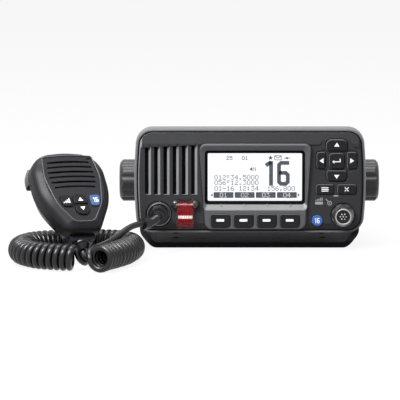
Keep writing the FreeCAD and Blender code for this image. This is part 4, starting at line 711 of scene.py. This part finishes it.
def finished(tree, geometry, start, end):
    """Close a group: make its geometry real and give it the finish."""
    real = tree.nodes.new("GeometryNodeRealizeInstances")
    paint = tree.nodes.new("GeometryNodeSetMaterial")
    tree.links.new(geometry, real.inputs["Geometry"])
    tree.links.new(real.outputs["Geometry"], paint.inputs["Geometry"])
    tree.links.new(start.outputs["Finish"], paint.inputs["Material"])
    tree.links.new(paint.outputs["Geometry"], end.inputs["Geometry"])
    return tree


print("Geometry Nodes groups can be built")

# %% Grow a piece with Geometry Nodes
def baked_mesh(carrier):
    """Mesh of an object as Blender evaluates it. The object itself is removed."""
    bpy.context.scene.collection.objects.link(carrier)
    bpy.context.view_layer.update()
    graph = bpy.context.evaluated_depsgraph_get()
    mesh = bpy.data.meshes.new_from_object(carrier.evaluated_get(graph))
    bpy.data.objects.remove(carrier)
    return mesh


def grown(name, tree, points_mm, edges, values, place, body):
    """Run a tree on drawn points and keep its result as a plain mesh piece."""
    mesh = mesh_of(name + "_points", points_mm, edges, [], place)
    carrier = bpy.data.objects.new(name + "_points", mesh)
    modifier = carrier.modifiers.new("grow", "NODES")
    modifier.node_group = tree
    for item in tree.interface.items_tree:
        if item.in_out == "INPUT" and item.name in values:
            modifier[item.identifier] = values[item.name]
    baked = baked_mesh(carrier)
    baked.name = name
    print(name, len(points_mm), "points,", len(baked.polygons), "faces")
    return on_body(name, baked, body)


# %% A round bead along a closed line
LIP_RADIUS = 0.00045


def bead_tree(name):
    tree, start, end = new_tree(
        name, (("Line", "Geometry"), ("Radius", "Float"), ("Finish", "Material")))
    path = tree.nodes.new("GeometryNodeMeshToCurve")
    profile = tree.nodes.new("GeometryNodeCurvePrimitiveCircle")
    profile.inputs["Resolution"].default_value = 10
    sweep = tree.nodes.new("GeometryNodeCurveToMesh")
    tree.links.new(start.outputs["Line"], path.inputs["Mesh"])
    tree.links.new(start.outputs["Radius"], profile.inputs["Radius"])
    tree.links.new(path.outputs["Curve"], sweep.inputs["Curve"])
    tree.links.new(profile.outputs["Curve"], sweep.inputs["Profile Curve"])
    return finished(tree, sweep.outputs["Mesh"], start, end)


count = len(plate_edge)
# The bead's finish is lighter than the shell: a painted highlight along the plate's edge.
grown("plate_lip_highlight", bead_tree("bead"), [(x, y, 0.0) for x, y in plate_edge],
      [(i, (i + 1) % count) for i in range(count)],
      {"Radius": LIP_RADIUS, "Finish": finish["lip_painted_highlight"]}, ON_HAND, "handset")

# %% [markdown]
# ## The display
# The small digits are a dot matrix. A table holds seven rows of five bits for each digit,
# every set bit becomes a point, and a Geometry Nodes tree puts one square dot on each point.
# An image would do from far off, but dots stay sharp close by and need no file.

# %% One small shape on every point
def repeat_tree(name, kind):
    tree, start, end = new_tree(name, (("Points", "Geometry"), ("Size", "Vector"),
                                       ("Turn", "Rotation"), ("Finish", "Material")))
    place = tree.nodes.new("GeometryNodeInstanceOnPoints")
    tree.links.new(start.outputs["Points"], place.inputs["Points"])
    tree.links.new(start.outputs["Turn"], place.inputs["Rotation"])
    if kind == "dot":
        shape = tree.nodes.new("GeometryNodeMeshUVSphere")
        shape.inputs["Segments"].default_value = 12
        shape.inputs["Rings"].default_value = 8
        shape.inputs["Radius"].default_value = 0.5
        tree.links.new(start.outputs["Size"], place.inputs["Scale"])
    else:
        shape = tree.nodes.new("GeometryNodeMeshCube")
        tree.links.new(start.outputs["Size"], shape.inputs["Size"])
    tree.links.new(shape.outputs["Mesh"], place.inputs["Instance"])
    return finished(tree, place.outputs["Instances"], start, end)


def repeated(name, tree, points_mm, size, lean, body, material):
    values = {"Size": [side / 1000 for side in size], "Turn": (lean, 0, 0), "Finish": material}
    return grown(name, tree, points_mm, [], values, ON_FRONT, body)


dot_squares = repeat_tree("square dots", "square")
round_dots = repeat_tree("round dots", "dot")
print("two trees repeat a small shape")

# %% Dot matrix digits
DIGITS = {"0": (14, 17, 17, 17, 17, 17, 14), "1": (4, 12, 4, 4, 4, 4, 14),
          "2": (14, 17, 1, 6, 8, 16, 31), "3": (31, 2, 4, 2, 1, 17, 14),
          "4": (2, 6, 10, 18, 31, 2, 2), "5": (31, 16, 30, 1, 1, 17, 14),
          "6": (6, 8, 16, 30, 17, 17, 14), "8": (14, 17, 17, 14, 17, 17, 14),
          ".": (0, 0, 0, 0, 0, 12, 12), ":": (0, 12, 12, 0, 12, 12, 0),
          "-": (0, 0, 0, 31, 0, 0, 0), "*": (12, 18, 18, 12, 0, 0, 0)}
DOT, SMALL_DOT = 0.525, 0.42
LCD = 55.1
WRITTEN = (("25", -18.2, 73.2, SMALL_DOT), ("01", -6.2, 73.2, SMALL_DOT),
           ("012*34.5000", -27.4, 58.2, DOT), ("056*12.3000", -27.4, 54.0, DOT),
           ("01-16 12:34", -27.4, 49.5, DOT), ("156.800", 13.6, 49.5, DOT))


def matrix_points(text, x, z, dot, out):
    """Points of the set dots, from the left end and the middle height of the line."""
    return [(x + dot * (6 * i + column), z + dot * (3 - row), out)
            for i, letter in enumerate(text) if letter in DIGITS
            for row, bits in enumerate(DIGITS[letter])
            for column in range(5) if bits >> (4 - column) & 1]


dark = [p for text, x, z, dot in WRITTEN for p in matrix_points(text, x, z, dot, LCD + 0.05)]
repeated("display_digits", dot_squares, dark, (0.5, 0.1, 0.5), 0, "radio",
         finish["display_ink"])

# %% [markdown]
# A black band lies on the slope of the display frame, round the window. It is painted shade,
# which stands for the shadow gap at the window's edge. It is a closed band between a smaller
# outline deep in the frame and a larger one further out.

# %% Painted shade round the window
# The painted shade round the window lies between these two outlines.
WINDOW, WINDOW_OUT = rounded_box(3.65, 58.6, 73.1, 37.2, 1.0), 56.68
BAND, BAND_OUT = rounded_box(3.65, 58.42, 77.7, 42.15, 2.5), 58.35


def painted_window_shadow(inner, outer, inner_out, outer_out, thick=0.1):
    """Closed band on the slope between two outlines of as many points."""
    n = len(inner)
    points = [(x, z, inner_out) for x, z in inner] + [(x, z, outer_out) for x, z in outer]
    points += [(x, z, out - thick) for x, z, out in points]
    faces = []
    for i in range(n):
        j = (i + 1) % n
        faces += [(i, n + i, n + j, j), (2 * n + i, 2 * n + j, 3 * n + j, 3 * n + i),
                  (n + i, 3 * n + i, 3 * n + j, n + j), (i, j, 2 * n + j, 2 * n + i)]
    return new_piece("painted_window_shadow", points, faces, ON_FRONT, "radio",
                     finish["gasket"])


gasket = painted_window_shadow(WINDOW, BAND, WINDOW_OUT, BAND_OUT)
print("gasket with", len(gasket.data.polygons), "faces")

# %% [markdown]
# The large channel number is made of the same ribbons as the signs on the keys. Each soft
# key has a dark label above it with pale digits, and an arrow at either end says that there
# are more. Small signs, such as an envelope for messages, fill the upper lines.

# %% Large number, signs and labels of the display
LABEL_X, LABEL_PITCH, LABEL_Z = -20.65, 16.4, 44.3
LABEL_INSET = 2.6
STAR_X, STAR_Z, STAR_RADII = 15.8, 73.4, (0.85, 2.1)
shapes = sixteen(11.4, 51.6, 19.3, 3.0)
shapes += [rounded_box(LABEL_X + LABEL_PITCH * i, LABEL_Z, 15.4, 4.5, 0.5) for i in range(4)]
shapes += [triangle(-29.9, LABEL_Z, 2.8, 1.5, 1), triangle(37.8, LABEL_Z, 2.8, 1.5, 3)]
star = [(STAR_X + r * math.sin(math.pi * k / 5), STAR_Z + r * math.cos(math.pi * k / 5))
        for k, r in zip(range(9, -1, -1), STAR_RADII * 5)]
shapes += [star, triangle(0.6, 64.6, 3.4, 2.2, 1), rounded_box(28.6, 73.2, 1.6, 1.6, 0.7)]
shapes += ribbons([[(19.1, 71.8), (24.1, 71.8), (24.1, 75.0), (19.1, 75.0), (19.1, 71.8)],
                   [(19.1, 75.0), (21.6, 73.2), (24.1, 75.0)], [(26.0, 73.2), (31.2, 73.2)],
                   [(2.8, 63.2), (2.8, 66.0)], [(4.0, 63.2), (4.0, 66.0)]], 0.5)
plates("display_shapes", shapes, LCD, ON_FRONT, "radio", finish["display_ink"])
pale = []
for i in range(4):
    x = LABEL_X + LABEL_PITCH * i - LABEL_INSET
    pale += matrix_points("0%d" % (i + 1), x, LABEL_Z, DOT, LCD + 0.15)
repeated("display_labels", dot_squares, pale, (0.5, 0.08, 0.5), 0, "radio",
         finish["mark_white"])

# %% [markdown]
# Two more things repeat. Seven small dots sit on the face of the dial, one in the middle
# and six round it, and four raised pips on the slope of the frame point at the keys below.

# %% Dots of the dial and pips of the frame
DOT_CIRCLE, DIAL_FACE = 2.2, 67.3
PIP_X, PIP_Z = -22.6, 36.6


def front_of(piece, x, z):
    """How far out the piece reaches towards the user at this place, and its normal."""
    mesh = piece.data
    tree = BVHTree.FromPolygons([v.co for v in mesh.vertices],
                                [p.vertices for p in mesh.polygons])
    hit, normal, _, _ = tree.ray_cast(Vector((x, -100, z)) / 1000, Vector((0, 1, 0)))
    return -1000 * hit.y, normal


dial_x, dial_z = DIAL[0] * 1000, DIAL[2] * 1000
spots = [(dial_x, dial_z, DIAL_FACE)]
spots += [(dial_x + DOT_CIRCLE * math.cos(math.pi * k / 3),
           dial_z + DOT_CIRCLE * math.sin(math.pi * k / 3), DIAL_FACE) for k in range(6)]
repeated("dial_dots", round_dots, spots, (0.9, 0.4, 0.9), 0, "dial", finish["steel"])

pips = []
for i in range(4):
    x = PIP_X + SOFT_PITCH * i
    out, normal = front_of(node["display_frame"], x, PIP_Z)
    pips.append((x, PIP_Z, out))
lean = -math.atan2(normal.z, -normal.y)
repeated("frame_pips", round_dots, pips, (1.8, 0.3, 3.0), lean, "radio",
         finish["frame_grey"])

# %% [markdown]
# The flip cover carries a row of short and long white bars. Its face is curved, so the
# bars are laid on it: each corner takes the height of the cover below it.

# %% Bars on the flip cover
BAR_LOW, BAR_HIGH = 27.0, 29.3
SHORT, LONG, BAR_GAP = 0.7, 1.35, 0.32
SUNK, PROUD = 0.02, 0.12


def laid_bar(name, under, x0, x1, z0, z1):
    spots = [(x0, z0), (x1, z0), (x1, z1), (x0, z1)]
    heights = [front_of(node[under], x, z)[0] for x, z in spots]
    points = [(x, z, h + level) for level in (-SUNK, PROUD) for (x, z), h in zip(spots, heights)]
    faces = [(3, 2, 1, 0), (4, 5, 6, 7)]
    faces += [(i, (i + 1) % 4, 4 + (i + 1) % 4, 4 + i) for i in range(4)]
    return new_piece(name, points, faces, ON_FRONT, under, finish["mark_white"])


across = -55.65
for i, width in enumerate((SHORT,) * 3 + (LONG,) * 3 + (SHORT,) * 3):
    laid_bar("cover_bar_%d" % i, "distress_cover", across, across + width, BAR_LOW, BAR_HIGH)
    across += width + BAR_GAP
print("nine bars end at %.2f mm" % across)

# %% [markdown]
# ## The cord
# A curly cord is one long cable: a straight lead from the plug, a close helix, and a
# straight tail into the microphone. Its course is drawn as a few points. They lead
# a NURBS spline, which is one smooth line, and the helix winds round that line.

# %% Routes in metres
COIL_HEIGHT = 10.5


def route(points_mm):
    return [Vector(p) / 1000 for p in points_mm]


LEAD = route(((-83.0, -86.0, 26.4), (-88.4, -90.6, 26.2), (-94.7, -98.0, 24.2),
              (-101.4, -108.6, 20.2), (-107.8, -120.0, 17.2), (-113.4, -131.8, 16.2),
              (-118.6, -143.2, 16.4), (-122.4, -151.6, 15.0)))
COIL = route([(x, y, COIL_HEIGHT) for x, y in (
    (-133.0, -152.0), (-152.0, -147.6), (-168.0, -135.0), (-176.0, -115.5), (-172.6, -94.0),
    (-157.5, -78.8), (-136.0, -73.6), (-113.6, -73.2), (-96.0, -81.4), (-89.6, -98.6),
    (-93.6, -118.6), (-101.6, -136.8), (-109.0, -149.4), (-114.0, -160.0))])
TAIL = route(((-127.54, -124.04, 10.95), (-126.75, -125.8, 8.65), (-125.4, -129.8, 5.4),
              (-124.8, -135.6, 4.0), (-126.4, -141.2, 5.0), (-129.6, -144.2, 8.4)))
print(len(LEAD) + len(COIL) + len(TAIL), "points lead the cord")

# %% One smooth line
LINE_STEPS, HELIX_STEPS = 12, 4


def smooth_curve(name, points, resolution):
    """Curve object with one NURBS spline that is led by these control points."""
    curve = bpy.data.curves.new(name, "CURVE")
    curve.dimensions = "3D"
    curve.resolution_u = resolution
    spline = curve.splines.new("NURBS")
    spline.points.add(len(points) - 1)
    for control, p in zip(spline.points, points):
        control.co = (*p, 1)
    spline.order_u = 3
    spline.use_endpoint_u = True
    return bpy.data.objects.new(name, curve)


def read_line(points, resolution):
    """Points along the smooth line, as Blender evaluates it with no bevel."""
    mesh = baked_mesh(smooth_curve("line", points, resolution))
    line = [v.co.copy() for v in mesh.vertices]
    bpy.data.meshes.remove(mesh)
    return line


def line_length(line):
    return sum((b - a).length for a, b in zip(line, line[1:]))


axis = read_line(list(reversed(COIL)), LINE_STEPS)
print("coil axis %.1f mm" % (1000 * line_length(axis)))

# %% [markdown]
# The helix starts at the plug side. There the lead comes down to the left of the coil, so
# the first turn starts at that angle. The turns are wound a hair apart, with a slow random
# drift in their size, which a moulded cord shows after some use. CABLE is a radius.

# %% Wind the helix
CABLE, COIL_RADIUS, HAIR = 0.0024, 0.0105, 0.00002
WINDING = COIL_RADIUS - CABLE - HAIR
PITCH = 0.0049
START_ANGLE, END_ANGLE = math.radians(178), math.radians(162)
MOST_SHRINK, SHRINK_STEP = 0.0004, 0.00004
UP = Vector((0, 0, 1))


def wound(axis, radius, pitch, start_angle, end_angle, turn_points=16, seed=4):
    """Control points of a helix round a level line."""
    drift = random.Random(seed)
    lengths = [0.0]
    for a, b in zip(axis, axis[1:]):
        lengths.append(lengths[-1] + (b - a).length)
    turns = int(lengths[-1] / pitch)
    step = lengths[-1] / (turns * turn_points)
    sweep = (2 * math.pi * turns + end_angle - start_angle) / (turns * turn_points)
    points, k, shrink = [], 0, 0.0
    for i in range(turns * turn_points + 1):
        s = i * step
        while k < len(lengths) - 2 and lengths[k + 1] < s:
            k += 1
        share = (s - lengths[k]) / (lengths[k + 1] - lengths[k])
        centre = axis[k].lerp(axis[k + 1], share)
        ahead = (axis[min(k + 3, len(axis) - 1)] - axis[max(k - 2, 0)]).normalized()
        angle = start_angle + sweep * i
        shrink = min(MOST_SHRINK, max(0, shrink + drift.uniform(-1, 1) * SHRINK_STEP))
        out = ahead.cross(UP) * math.cos(angle) + UP * math.sin(angle)
        points.append(centre + out * (radius - shrink))
    return points, turns


helix, turns = wound(axis, WINDING, PITCH, START_ANGLE, END_ANGLE)
print(turns, "turns, cable in them %.2f m" % line_length(helix))

# %% [markdown]
# Lead, helix and tail are three pieces because each moves its own way. Two neighbours
# share a cut in the middle of one control run, so that they meet with one direction. The
# helix has many control points, so fewer steps between them are enough.

# %% Cut the course into three cables
def cable(name, points, resolution):
    """Round mesh tube on the smooth line of the points, and the line itself."""
    carrier = smooth_curve(name + "_curve", points, resolution)
    carrier.data.bevel_depth = CABLE
    carrier.data.bevel_resolution = 5
    carrier.data.use_fill_caps = True
    mesh = baked_mesh(carrier)
    mesh.name = name
    for face in mesh.polygons:
        face.use_smooth = True
    mesh.materials.clear()
    mesh.materials.append(finish["cord_black"])
    line = read_line(points, resolution)
    print(name, "%.3f m," % line_length(line), len(mesh.polygons), "faces")
    return in_scene(name, mesh), line


plug_side = helix[0].lerp(helix[1], 0.5)
hand_side = helix[-2].lerp(helix[-1], 0.5)
lead, lead_line = cable("microphone_lead", LEAD + [helix[0], plug_side], LINE_STEPS)
coil, coil_line = cable("curly_cord", [plug_side] + helix[1:-1] + [hand_side], HELIX_STEPS)
tail, tail_line = cable("microphone_tail", TAIL + [helix[-1], hand_side], LINE_STEPS)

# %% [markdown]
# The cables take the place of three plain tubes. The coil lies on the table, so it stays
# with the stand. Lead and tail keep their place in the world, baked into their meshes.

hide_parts("cord_lead")
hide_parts("cord_coil")
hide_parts("cord_tail")
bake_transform(lead)
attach(coil, "bracket")
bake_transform(tail)
